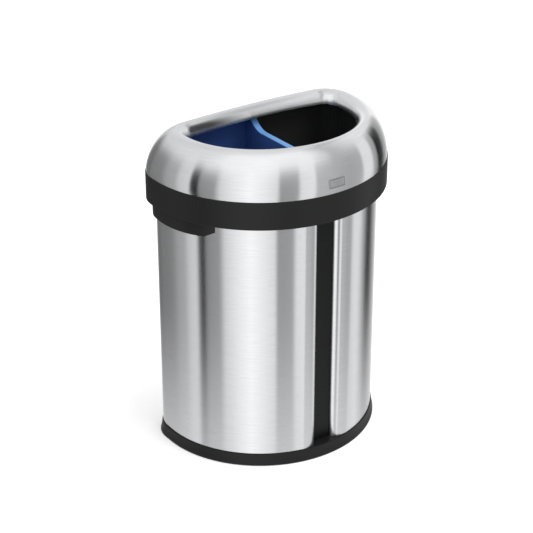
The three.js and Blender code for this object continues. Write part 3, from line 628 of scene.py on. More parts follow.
def make_piece(bm: Mesh, name: str, body: Body, finish: Finish, node: str) -> bpy.types.Object:
    """Turns a mesh under construction into a finished piece on its body.

    Args:
        bm: The mesh, which is freed.
        name: The piece's name.
        body: The body that it rides on.
        finish: What it is made of.
        node: The frame's node that it stands for.

    Returns:
        The piece's object.
    """
    bmesh.ops.dissolve_degenerate(bm, dist=DEGENERATE, edges=bm.edges)
    bmesh.ops.recalc_face_normals(bm, faces=bm.faces)
    for face in bm.faces:
        face.smooth = True
    piece = object_of(bm, name, finish.material())
    piece.data.set_sharp_from_angle(angle=SHARP_ANGLE)
    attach(piece, body.value)
    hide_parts(node)
    log.info("%s: %d faces", name, len(piece.data.polygons))
    return piece


def moulded_ring(
    name: str, body: Body, node: str, corners: Profile, capped: bool = False, steps: int = 5,
) -> None:
    """Builds a black moulding whose profile runs round the plan.

    Args:
        name: The piece's name.
        body: The body that it rides on.
        node: The frame's node that it stands for.
        corners: The profile; a share of 1 follows the inner, notched outline.
        capped: Whether the profile is open and both its ends are filled.
        steps: How many steps a quarter turn of the profile has.
    """
    rows = []
    for out, up, share in rounded(corners, closed=not capped, steps=steps):
        row = BODY_PLAN.outline(out)
        if share > 0:
            row = [p.lerp(q, share) for p, q in zip(row, inner_outline(-out))]
        rows.append(lift(row, up))
    make_piece(skin(rows, closed=not capped, capped=capped), name, body, BLACK, node)


# ---- Body ------------------------------------------------------------------------------------------


@dataclass(frozen=True)
class BodyAssembly:
    """Base, feet, wrapped steel, front channel and top frame."""

    base_flare: float = 0.007
    base_lip: float = 0.0022
    base_foot: float = 0.0015
    base_edge: float = 0.0025
    waist_share: float = 0.4
    waist_radius: float = 0.02
    floor_top: float = 0.012
    ledge_reach: float = 0.0111
    ledge_round: float = 0.002
    upstand: float = 0.0115
    foot_count: int = 6
    foot_segments: int = 40
    rib_depth: float = 0.0006
    ribs: tuple[float, ...] = (0.004, 0.0045, 0.006, 0.0065, 0.0078, 0.0083)
    foot_rim: Pair = (0.0105, 0.011)
    foot_top: float = 0.0087
    foot_stem: float = 0.003
    steel_foot: float = 0.0308
    steel_top: float = 0.6919
    foot_flange: float = 0.010
    foot_round: float = 0.001
    sheet_return: float = 0.006
    return_steps: int = 3
    channel_wall: float = 0.0025
    channel_hook: float = 0.0022
    channel_setback: float = 0.0015
    channel_steps: int = 24
    frame_skirt: float = 0.038
    frame_ledge: float = 0.008
    frame_ledge_edge: float = 0.006

    def base(self) -> None:
        """Moulded base with its flared skirt, ledge, upstand and floor."""
        under, crown = BASE_TOP - WALL, BASE_TOP + self.upstand
        reach, deep = -self.ledge_reach, -self.ledge_reach - WALL
        waist = self.base_lip + (self.base_flare - self.base_lip) * self.waist_share
        moulded_ring("base_moulding", Body.BODY, "base_tray", [
            (reach, self.floor_top - WALL, 0.0, 1), (reach, under, FINE, 1),
            (self.base_lip - WALL, under, self.ledge_round),
            (self.base_flare - WALL, self.base_foot, TIGHT), (self.base_flare, self.base_foot, FINE),
            (self.base_flare, self.base_foot + self.base_edge, FULL),
            (waist, (self.base_foot + BASE_TOP) / 2, self.waist_radius), (self.base_lip, BASE_TOP, FULL),
            (reach, BASE_TOP, EDGE, 1), (reach, crown, EDGE, 1), (deep, crown, EDGE, 1),
            (deep, self.floor_top, 0.0, 1),
        ], capped=True)

    def feet(self) -> None:
        """Six rubber feet with a ribbed sole."""
        for number in range(1, self.foot_count + 1):
            node = f"foot_pad_{number}"
            low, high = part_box(node)
            sole, groove = low.z, low.z + self.rib_depth
            ups = (groove, sole, sole, groove, groove, sole)
            inner, outer = self.foot_rim
            profile = rounded([
                (0.0, groove),
                *((out, up, CRISP) for out, up in zip(self.ribs, ups)),
                (inner, sole, self.foot_round), (outer, self.foot_top, EDGE),
                (self.foot_stem, self.foot_top, TIGHT), (self.foot_stem, high.z, FINE), (0.0, high.z),
            ], closed=False, steps=3)
            place = Vector(((low.x + high.x) / 2, (low.y + high.y) / 2, 0.0))
            bm = turned(circles(profile[1:-1], self.foot_segments), place, Vector((0, 0, 1)))
            make_piece(bm, f"rubber_foot_{number}", Body.BODY, RUBBER, node)

    def sheet_path(self) -> Row:
        """The steel's outer face in plan, from one free edge in the groove round to the other."""
        floor = GROOVE_DEPTH - BODY_PLAN.front
        half = BODY_PLAN.half(0.0, Groove(GROOVE_HALF_WIDTH, floor))[BODY_PLAN.flat_steps:]
        edge = BODY_PLAN.centre_y + floor + self.sheet_return
        steps = self.return_steps
        start = [Vector((GROOVE_HALF_WIDTH, edge - self.sheet_return * k / steps)) for k in range(steps)]
        return both_sides(start + half)

    def steel(self) -> None:
        """Wrapped stainless sheet with rolled front edges and a turned-in foot."""
        path = self.sheet_path()
        rows = []
        for i, point in enumerate(path):
            along = (path[min(i + 1, len(path) - 1)] - path[max(i - 1, 0)]).normalized()
            inward = Vector((-along.y, along.x))
            rolled = abs(point.x) < ROLL_END and point.y < BODY_PLAN.centre_y
            flange, radius = (CRISP, TIGHT) if rolled else (self.foot_flange, self.foot_round)
            section = rounded([
                (0.0, self.steel_foot, radius), (0.0, self.steel_top), (SHEET, self.steel_top),
                (SHEET, self.steel_foot + SHEET), (SHEET + flange, self.steel_foot + SHEET),
                (SHEET + flange, self.steel_foot),
            ], steps=4)
            rows.append([Vector((*(point + inward * depth), z)) for depth, z, _ in section])
        bm = skin(rows, capped=True)
        uv = bm.loops.layers.uv[UV_MAP]
        for face in bm.faces:
            for loop in face.loops:
                loop[uv].uv = loop[uv].uv.yx
        make_piece(bm, "wrapped_steel", Body.BODY, STEEL, "body_shell")

    def channel(self) -> None:
        """Black hat-section strip that closes the groove, its slots over the sheet's edges."""
        floor = GROOVE_DEPTH - BODY_PLAN.front
        side, wall = GROOVE_HALF_WIDTH - SEAT_GAP, self.channel_wall
        slot, lip = floor + self.sheet_return + SEAT_GAP, floor + self.channel_setback
        hook = GROOVE_HALF_WIDTH + SHEET + SEAT_GAP
        right = [
            (side, floor, FULL), (side, slot, 0.0), (hook, slot, 0.0), (hook, lip, TIGHT),
            (hook + self.channel_hook, lip, TIGHT), (hook + self.channel_hook, slot + wall, SOFT),
            (side - wall, slot + wall, SOFT), (side - wall, floor + wall, SOFT),
        ]
        left = [(-x, y, radius) for x, y, radius in reversed(right)]
        section = rounded(right + left, steps=4)
        foot = BASE_TOP + SEAT_GAP
        rows = []
        for k in range(self.channel_steps + 1):
            z = foot + (self.steel_top - foot) * k / self.channel_steps
            rows.append([Vector((x, BODY_PLAN.centre_y + y, z)) for x, y, _ in section])
        make_piece(skin(rows, capped=True), "front_strip", Body.BODY, STRIP, "front_channel")

    def top_frame(self) -> None:
        """Moulded frame that caps the steel and carries the lid and the buckets."""
        inset = -(SHEET + SEAT_GAP)
        foot, under, ledge = FRAME_TOP - self.frame_skirt, FRAME_TOP - WALL, FRAME_TOP - self.frame_ledge_edge
        moulded_ring("rim_frame", Body.BODY, "top_frame", [
            (inset - WALL, foot, EDGE, 1), (inset, foot, EDGE, 1), (inset, under, 0.0, 1),
            (self.frame_ledge - WALL, under, FINE), (self.frame_ledge - WALL, ledge, TIGHT),
            (self.frame_ledge, ledge, EDGE), (self.frame_ledge, FRAME_TOP, SOFT),
            (inset - WALL, FRAME_TOP, EDGE, 1),
        ])

    def build(self) -> None:
        """Builds the whole assembly."""
        self.base()
        self.feet()
        self.steel()
        self.channel()
        self.top_frame()


@dataclass(frozen=True)
class Wall:
    """Places on the steel's right side by distance along it from the front centre line."""

    places: tuple[Vector, ...] = field(default_factory=lambda: tuple(BODY_PLAN.half(0.0)))

    def at(self, along: float) -> tuple[Vector, Vector]:
        """The point and outward direction at a distance along the wall."""
        for a, b in zip(self.places, self.places[1:]):
            step = (b - a).length
            if along <= step:
                edge = (b - a).normalized()
                return a + edge * along, Vector((edge.y, -edge.x))
            along -= step
        raise ValueError("past the end of the wall")

    def side(self) -> float:
        """How far along the wall the plan's side point is."""
        steps = zip(self.places, self.places[1:])
        return sum((b - a).length for a, b in steps if b.y <= BODY_PLAN.centre_y + MERGE)


@dataclass(frozen=True)
class Grips:
    """Side grips that bulge out under the collar over a finger pocket."""

    depth: float = 0.036
    hidden: float = 0.034
    proud_top: float = 0.0175
    proud_foot: float = 0.0155
    half_length: float = 0.118
    fade: float = 0.122
    power: float = 2.2
    end_rise: float = 0.012
    end_length: float = 0.024
    ahead: float = 0.031
    pocket_end: float = 0.020
    wall: float = 0.0028
    steps: int = 96
    corner_steps: int = 4
    top_round: float = 0.001
    foot_round: float = 0.0014
    foot_round_share: float = 0.3
    heel: float = 0.0004
    heel_round: float = 0.0001
    pocket_rounds: Pair = (0.0007, 0.0015)
    lines: Wall = field(default_factory=Wall)

    def proud(self, distance: float, most: float) -> float:
        """How far the face stands out at a distance from the grip's middle."""
        return most * (1 - abs(distance / self.fade) ** self.power)

    def section(self, distance: float, hollow: bool) -> Row:
        """One upright section, solid or with the finger pocket."""
        past = max(0.0, abs(distance) - (self.half_length - self.end_length))
        foot = COLLAR_FOOT - self.depth + past / self.end_length * self.end_rise
        top = COLLAR_FOOT + self.hidden
        upper, lower = self.proud(distance, self.proud_top), self.proud(distance, self.proud_foot)
        rim = min(self.foot_round, (lower - SEAT_GAP) * self.foot_round_share)
        if hollow:
            low, high = self.pocket_rounds
            inner = [
                (lower - self.wall, foot, low), (upper - self.wall, top - self.wall, high),
            ]
        else:
            inner = [
                (SEAT_GAP + self.heel, foot, self.heel_round),
                (SEAT_GAP, foot + self.heel, self.heel_round),
            ]
        corners = [
            (SEAT_GAP, top), (upper, top, self.top_round), (lower, foot, rim),
            *inner, (SEAT_GAP, top - self.wall),
        ]
        point, outward = self.lines.at(self.lines.side() - self.ahead + distance)
        return [Vector((*(point + outward * place.x), place.y)) for place in self.trim(corners)]

    def trim(self, profile: Profile) -> Row:
        """A section's points, always equally many."""
        found = []
        for corner, before, after in bent(profile):
            here = before.here
            if corner.radius <= 0:
                found.append(here)
                continue
            reach = min(corner.radius, before.length * ARM_SHARE, after.length * ARM_SHARE)
            first, last = before.point(reach), after.point(reach)
            for k in range(self.corner_steps + 1):
                t = k / self.corner_steps
                found.append(first * (1 - t) ** 2 + here * 2 * t * (1 - t) + last * t ** 2)
        return found

    def rows(self) -> list[Row]:
        """All sections from the back end to the front end, with a step at each pocket end."""
        pocket = self.half_length - self.pocket_end
        places = [self.half_length * (1 - 2 * i / self.steps) for i in range(self.steps + 1)]
        spots = [(d, False) for d in places if d > pocket] + [(pocket, False), (pocket, True)]
        spots += [(d, True) for d in places if abs(d) < pocket]
        spots += [(-pocket, True), (-pocket, False)] + [(d, False) for d in places if d < -pocket]
        return [self.section(distance, hollow) for distance, hollow in spots]

    def build(self) -> None:
        """Builds both grips."""
        for side, across in (("right", 1), ("left", -1)):
            bm = skin(self.rows(), capped=True)
            bmesh.ops.scale(bm, vec=(across, 1, 1), verts=bm.verts)
            make_piece(bm, f"grip_moulding_{side}", Body.BODY, BLACK, f"grip_{side}")


# ---- Lid -------------------------------------------------------------------------------------------


@dataclass(frozen=True)
class LidAssembly:
    """Collar, dome ring, clamp ring and badge."""

    overhang: float = 0.023
    edge_round: float = 0.002
    web: float = 0.003
    web_inset: float = 0.002
    setback: float = 0.0016
    foot_flange: float = 0.013
    sheet: float = 0.001
    roundness: float = 1.71
    lip_to_crest: float = 0.0235
    rise: float = 0.1085
    crest_droop: float = 0.0065
    lip_depth: float = 0.0265
    lip_droop: float = 0.0105
    flank_steps: int = 34
    lip_steps: int = 16
    clamp_width: float = 0.011
    clamp_rib: float = 0.005
    clamp_rib_wall: float = 0.002
    clamp_setback: float = 0.0015
    badge_half: Pair = (0.022, 0.011)
    badge_corner: float = 0.002
    badge_tightest: float = 0.0003
    badge_height: float = 0.7225
    search_steps: int = 40
    badge_corner_steps: int = 6
    badge_side_steps: int = 12
    badge_border: tuple[int, int] = (4, 7)
    badge_rings: tuple[Pair, ...] = (
        (0.0, SEAT_GAP), (0.0, SEAT_GAP + 0.0005), (0.00025, 0.00105), (0.0006, 0.0011),
        (0.0014, 0.0011), (0.0016, 0.00095), (0.0021, 0.00095), (0.0023, 0.0011),
        (0.003, 0.0011), (0.006, 0.0011), (0.009, 0.0011), (0.0105, 0.0011),
    )

    def collar(self) -> None:
        """Black collar whose web rests on the frame."""
        inside, under = self.overhang - WALL, COLLAR_TOP - self.web
        moulded_ring("collar_moulding", Body.LID, "lid_collar", [
            (inside, COLLAR_FOOT, EDGE), (self.overhang, COLLAR_FOOT, self.edge_round),
            (self.overhang, COLLAR_TOP, SOFT), (self.web_inset, COLLAR_TOP, EDGE),
            (self.web_inset, under, EDGE), (inside, under, EDGE),
        ])

    def crest_top(self) -> float:
        """The crest's height in the middle."""
        return COLLAR_TOP + self.rise

    def rings(self) -> list[Row]:
        """The dome's outer face from foot over crest to lip; crest and lip droop to the two ends."""
        foot = BODY_PLAN.outline(self.overhang - self.setback)
        crest, lip = LIP_PLAN.outline(self.lip_to_crest), LIP_PLAN.outline()
        top, base = self.crest_top(), COLLAR_TOP + SEAT_GAP
        wide = LIP_PLAN.half_width + self.lip_to_crest
        highs = [top - self.crest_droop * (p.x / wide) ** 2 for p in crest]
        lows = [top - self.lip_depth - self.lip_droop * (p.x / LIP_PLAN.half_width) ** 2 for p in lip]
        rows = []
        for i in range(self.flank_steps + 1):
            turn = i / self.flank_steps * QUARTER
            out, up = (max(0.0, part) ** (2 / self.roundness) for part in (math.cos(turn), math.sin(turn)))
            rows.append([
                Vector((*p.lerp(q, out), base + (z - base) * up)) for p, q, z in zip(crest, foot, highs)
            ])
        for i in range(1, self.lip_steps + 1):
            turn = i / self.lip_steps * QUARTER
            rows.append([
                Vector((*p.lerp(q, math.sin(turn)), low + (z - low) * math.cos(turn)))
                for p, q, z, low in zip(crest, lip, highs, lows)
            ])
        return rows

    def dome(self) -> None:
        """Pressed ring with a turned-in foot and a rolled-down lip."""
        base, reach = COLLAR_TOP + SEAT_GAP, self.overhang - self.setback
        flange = BODY_PLAN.outline(reach - self.foot_flange)
        outside = [lift(flange, base), *self.rings()]
        inside = self.inward(outside, self.sheet)
        inside[0] = lift(flange, base + self.sheet)
        inside[1] = lift(BODY_PLAN.outline(reach - self.sheet), base + self.sheet)
        bm = skin([*outside, *reversed(inside)], closed=True)
        make_piece(bm, "dome_ring", Body.LID, STEEL, "lid_dome")

    @staticmethod
    def inward(rows: list[Row], thickness: float) -> list[Row]:
        """The rows moved by a thickness to the skin's inner side."""
        moved = []
        for i, row in enumerate(rows):
            above, below = rows[min(i + 1, len(rows) - 1)], rows[max(i - 1, 0)]
            moved.append([
                p - (row[(j + 1) % len(row)] - row[j - 1]).cross(above[j] - below[j]).normalized() * thickness
                for j, p in enumerate(row)
            ])
        return moved

    def clamp(self) -> None:
        """Ring that clamps the dome's foot to the collar, with a rib on its inner edge."""
        outer = self.overhang - self.setback - self.sheet - self.clamp_setback
        inner = outer - self.clamp_width
        ridge = inner + self.clamp_rib_wall
        foot = COLLAR_TOP + 2 * SEAT_GAP + self.sheet
        top = foot + WALL
        moulded_ring("clamp_moulding", Body.LID, "lid_clamp_ring", [
            (inner, foot, TIGHT), (outer, foot, TIGHT), (outer, top, EDGE), (ridge, top, EDGE),
            (ridge, top + self.clamp_rib, FINE), (inner, top + self.clamp_rib, FINE),
        ], steps=3)

    def on_dome(self, across: float, height: float, raise_by: float) -> Vector:
        """The point on the dome's front, or outside it, at a distance across and a height."""
        base, top = COLLAR_TOP + SEAT_GAP, self.crest_top() + raise_by
        turn = math.asin(((height - base) / (top - base)) ** (self.roundness / 2))
        out = math.cos(turn) ** (2 / self.roundness)
        low, high = -1.5 * QUARTER, -0.5 * QUARTER
        for _ in range(self.search_steps):
            angle = (low + high) / 2
            crest = LIP_PLAN.front_point(angle, self.lip_to_crest)
            foot = BODY_PLAN.front_point(angle, self.overhang - self.setback + raise_by)
            point = crest.lerp(foot, out)
            low, high = (angle, high) if point.x < across else (low, angle)
        return Vector((*point, height))

    def badge_ring(self, inset: float) -> Row:
        """A rectangle with rounded corners inside the badge's edge, across and up."""
        radius = max(self.badge_corner - inset, self.badge_tightest)
        w, h = (half - inset - radius for half in self.badge_half)
        corners = [
            arc(Vector((x, z)), radius, (k - 1) * QUARTER, QUARTER, self.badge_corner_steps)
            for k, (x, z) in enumerate(((w, -h), (w, h), (-w, h), (-w, -h)))
        ]
        ring = []
        for corner, following in zip(corners, corners[1:] + corners[:1]):
            ring += corner + between(corner[-1], following[0], self.badge_side_steps)
        return ring

    def badge(self) -> None:
        """Bare plate with rounded corners, a bevelled edge and a fine sunk border."""
        bm = skin([
            [self.on_dome(p.x, self.badge_height + p.y, proud) for p in self.badge_ring(inset)]
            for inset, proud in self.badge_rings
        ], capped=True)
        first, last = self.badge_border
        station = bm.verts.layers.int.get("station")
        for face in bm.faces:
            if all(first <= vert[station] <= last for vert in face.verts):
                face.material_index = 1
        piece = make_piece(bm, "badge_blank", Body.LID, BADGE_STEEL, "badge_plate")
        piece.data.materials.append(BADGE_BORDER.material())

    def build(self) -> None:
        """Builds the whole assembly."""
        self.collar()
        self.dome()
        self.clamp()
        self.badge()


# ---- Buckets ---------------------------------------------------------------------------------------


@dataclass(frozen=True)
class Scoop:
    """The divider's edge, which dips in the middle on two arcs."""

    depth: float = 0.0237
    radius: float = 0.055
    flat_front: float = -0.160
    flat_back: float = -0.0055
    reach: float = 0.046
    width: float = 0.020
    steps: int = 20

    def centre(self) -> float:
        """The height of both arcs' centres."""
        return RIM_TOP - self.depth + self.radius

    def edge(self, drop: float, front: float, back: float) -> Row:
        """The edge in the Y-Z plane from the plan's centre, lowered by a drop."""
        centre, radius = self.centre(), self.radius + drop
        lean = math.asin((self.flat_front - front) / radius)
        rise = QUARTER - math.asin((centre - RIM_TOP + drop) / radius)
        return [
            *arc(Vector((self.flat_front, centre)), radius, 3 * QUARTER - lean, lean, self.steps),
            *arc(Vector((self.flat_back, centre)), radius, 3 * QUARTER, rise, self.steps),
            Vector((back, RIM_TOP - drop)),
        ]

    def height(self, y: float, drop: float) -> float:
        """The edge's height at a place along the divider."""
        radius = self.radius + drop
        past = max(self.flat_front - y, y - self.flat_back, 0.0)
        if past >= radius:
            return RIM_TOP - drop
        return min(RIM_TOP - drop, self.centre() - math.sqrt(radius ** 2 - past ** 2))


@dataclass(frozen=True)
class Bucket:
    """A drafted cup right of the divider with a hanging flange and a beaded rim.

    The left bucket is its mirror image.
    """

    name: str
    node: str
    body: Body
    finish: Finish
    divider: float
    drop: float
    across: int = 1
    inset: float = 0.018
    draft: float = 0.010
    wall: float = 0.0025
    foot: float = 0.015
    foot_rounds: Pair = (0.003, 0.004)
    flange: float = 0.0022
    flange_inset: float = 0.0005
    bead: float = 0.0035
    bead_height: float = 0.004
    rim_round: float = 0.001
    chamfer: float = 0.004
    front_corner: float = 0.065
    back_corner: float = 0.012
    least_corner: float = 0.0004
    band_front: float = -0.168
    band_back: float = 0.059
    front_steps: int = 56
    corner_steps: int = 18
    back_steps: int = 8
    small_steps: int = 8
    divider_steps: int = 90
    scoop: Scoop = field(default_factory=Scoop)

    def outline(self, inset: float, side: float, front: float, back: float) -> Row:
        """Half-D outline: inset from the steel, the divider's place and the two corners' radii."""
        plan = BODY_PLAN
        start = plan.angle_at((side + front) * plan.half_width / (plan.half_width - inset))
        points = plan.front_row(start, -inset, self.front_steps)
        join = points[0]
        points += plan.corner_row(-inset, self.corner_steps)
        points += between(points[-1], Vector((side + back, points[-1].y)), self.back_steps)
        centre = Vector((side + back, plan.centre_y + plan.back - inset - back))
        points += arc(centre, back, QUARTER, QUARTER, self.small_steps)
        points += between(points[-1], Vector((join.x - front, join.y + front)), self.divider_steps)
        return points + arc(join + Vector((0, front)), front, 2 * QUARTER, QUARTER, self.corner_steps)[:-1]

    def raised(self, outline: Row, height: float) -> Row:
        """The outline at a height, lowered towards the scoop where it follows the divider."""
        shelf = FRAME_TOP + SEAT_GAP + self.flange
        row = []
        for p in outline:
            z, y = height, p.y - BODY_PLAN.centre_y
            cut = self.scoop.flat_front - self.scoop.reach < y < self.band_back
            if height > shelf and cut and p.x < self.divider + self.scoop.width:
                top = self.scoop.height(y, self.drop)
                z = shelf + (height - shelf) * (top - shelf) / (RIM_TOP - shelf)
            row.append(Vector((p.x, p.y, z)))
        return row

    def stations(self) -> list[Triple]:
        """Inset, height and wall share, from the foot up outside and down again inside."""
        shelf, heel, bead = FRAME_TOP + SEAT_GAP, self.foot + self.chamfer, RIM_TOP - self.bead_height
        low, inner, rim = self.inset + self.draft, self.inset + self.wall, self.inset - self.bead
        outer_round, inner_round = self.foot_rounds
        return rounded([
            (low + self.chamfer, self.foot), (low, heel, outer_round), (self.inset, shelf),
            (self.flange_inset, shelf, TIGHT), (self.flange_inset, shelf + self.flange, EDGE),
            (self.inset, shelf + self.flange, self.rim_round), (self.inset, bead, EDGE),
            (rim, bead, EDGE), (rim, RIM_TOP, FULL), (inner, RIM_TOP, self.rim_round, 1),
            (inner, shelf, 0.0, 1), (low + self.wall, heel, inner_round, 1),
            (low + self.wall + self.chamfer, self.foot + self.wall, 0.0, 1),
        ], closed=False, steps=4)

    def rows(self) -> list[Row]:
        """The cup's rows."""
        shelf = FRAME_TOP + SEAT_GAP
        rows = []
        for inset, height, share in self.stations():
            wall = self.wall * share + max(0.0, self.foot + self.chamfer - height)
            sink = self.draft / 2 * clamped((shelf - height) / (shelf - self.foot))
            back = max(self.back_corner - sink - wall, self.least_corner)
            outline = self.outline(inset, self.divider + sink + wall, self.front_corner - wall, back)
            rows.append(self.raised(outline, height))
        return rows

    def extras(self, bm: Mesh) -> None:
        """Adds what a bucket has besides its cup."""

    def dress(self, piece: bpy.types.Object) -> None:
        """Finishes what a bucket has besides its cup."""

    def build(self) -> None:
        """Builds the bucket."""
        bm = skin(self.rows(), capped=True)
        self.extras(bm)
        bmesh.ops.scale(bm, vec=(self.across, 1, 1), verts=bm.verts)
        self.dress(make_piece(bm, self.name, self.body, self.finish, self.node))


@dataclass(frozen=True)
class BandedBucket(Bucket):
    """A bucket whose rim band laps over its neighbour's divider wall."""

    band_half_width: float = 0.0086
    band_thickness: float = 0.0025
    seam: float = 0.0024
    seam_half_width: float = 0.0006
    seam_depth: float = 0.0005
    seam_round: float = 0.0001
    hook: float = 0.012
    hook_wall: float = 0.002

    def extras(self, bm: Mesh) -> None:
        """Adds the band along the scooped edge, hooked down over the neighbour's side."""
        half, thick, seam, reach = self.band_half_width, self.band_thickness, self.seam, self.seam_half_width
        section = rounded([
            (half, 0.0, FULL), (seam + reach, 0.0, self.seam_round),
            (seam, self.seam_depth, self.seam_round), (seam - reach, 0.0, self.seam_round),
            (-half, 0.0, FULL), (-half, self.hook, EDGE), (-half + self.hook_wall, self.hook, EDGE),
            (-half + self.hook_wall, thick, TIGHT), (half, thick, EDGE),
        ], steps=4)
        columns = [
            [Vector((across, BODY_PLAN.centre_y + p.x, p.y))
             for p in self.scoop.edge(drop, self.band_front, self.band_back)]
            for across, drop, _ in section
        ]
        cup = len(bm.faces)
        skin([list(row) for row in zip(*columns)], capped=True, bm=bm)
        bm.faces.ensure_lookup_table()
        # The band's faces take the second material, the lighter copy of the blue: painted light.
        for face in bm.faces[cup:]:
            face.material_index = 1

    def dress(self, piece: bpy.types.Object) -> None:
        """Gives the band the lighter copy of the blue plastic, painted light of its lit top."""
        piece.data.materials.append(LIT_BAND_BLUE_PAINTED.material())


# ---- Screws ----------------------------------------------------------------------------------------


@dataclass(frozen=True)
class Screw:
    """A pan-head screw with a cross recess, on the axis and between the ends of its frame solid."""

    node: str
    segments: int = 40
    pitch: float = 0.0009
    thread_depth: float = 0.00035
    turn_steps: int = 5
    point: float = 0.001
    point_share: float = 0.55
    head_edge: float = 0.45
    head_crown: float = 0.72
    head_rounds: Triple = (0.0003, 0.0009, 0.0008)
    recess_reach: float = 0.0021
    recess_rim: float = 1.12
    recess_half_width: float = 0.00055
    recess_depth: float = 0.0013
    recess_taper: float = 0.6
    near: float = 1e-5
    seat_share: float = 0.98

    def axis(self) -> tuple[Vector, Vector, float, float, float, float]:
        """Measures the frame's solid.

        Returns:
            The head's seat, the direction out of the head, and the head's height and radius and the
            shank's length and radius.
        """
        points = np.array([vert.co[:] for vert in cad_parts[self.node].data.vertices])
        centre = points.mean(axis=0)
        values, vectors = np.linalg.eigh(np.cov((points - centre).T))
        odd = 2 if values[2] - values[1] > values[1] - values[0] else 0
        line = vectors[:, odd]
        along = (points - centre) @ line
        radii = np.linalg.norm(points - centre - np.outer(along, line), axis=1)
        if radii[along > along.max() - self.near].max() < radii[along < along.min() + self.near].max():
            line, along = -line, -along
        head = radii.max()
        seat = along[radii > self.seat_share * head].min()
        shank = radii[along < seat - self.near].max()
        return Vector(centre + line * seat), Vector(line), along.max() - seat, head, seat - along.min(), shank

    def cross(self, turn: float) -> float:
        """The recess outline's radius at a turn round the axis."""
        cos, sin = max(abs(math.cos(turn)), MERGE), max(abs(math.sin(turn)), MERGE)
        reach, half = self.recess_reach, self.recess_half_width
        return max(min(reach / cos, half / sin), min(reach / sin, half / cos))

    def thread(self, shank: float, z: float, turn: float) -> float:
        """The thread's radius at a height over the seat and a turn round the axis."""
        phase = (z / self.pitch - turn / (2 * math.pi)) % 1
        return shank - self.thread_depth * abs(2 * phase - 1)

    def build(self) -> None:
        """Builds the screw."""
        seat, line, tall, head, length, shank = self.axis()
        turns = [2 * math.pi * i / self.segments for i in range(self.segments)]
        count = int(length / self.pitch * self.turn_steps)
        rows = []
        for i in range(count + 1):
            z = -length + length * i / count
            taper = min(1.0, self.point_share + (1 - self.point_share) * (z + length) / self.point)
            rows.append([(taper * self.thread(shank, z, turn), z) for turn in turns])
        lower, edge, crown = self.head_rounds
        rim = rounded([
            (shank, 0.0), (head, 0.0, lower), (head, tall * self.head_edge, edge),
            (head * self.head_crown, tall, crown), (self.recess_reach * self.recess_rim, tall),
        ], closed=False)
        rows += circles(rim, self.segments)
        for depth in (0.0, 0.5, 1.0):
            share = 1 - (1 - self.recess_taper) * depth
            rows.append([(self.cross(turn) * share, tall - self.recess_depth * depth) for turn in turns])
        body = Body.LID if self.node.startswith("lid") else Body.BODY
        make_piece(turned(rows, seat, line), f"zinc_{self.node}", body, ZINC, self.node)


# ---- Studio ----------------------------------------------------------------------------------------


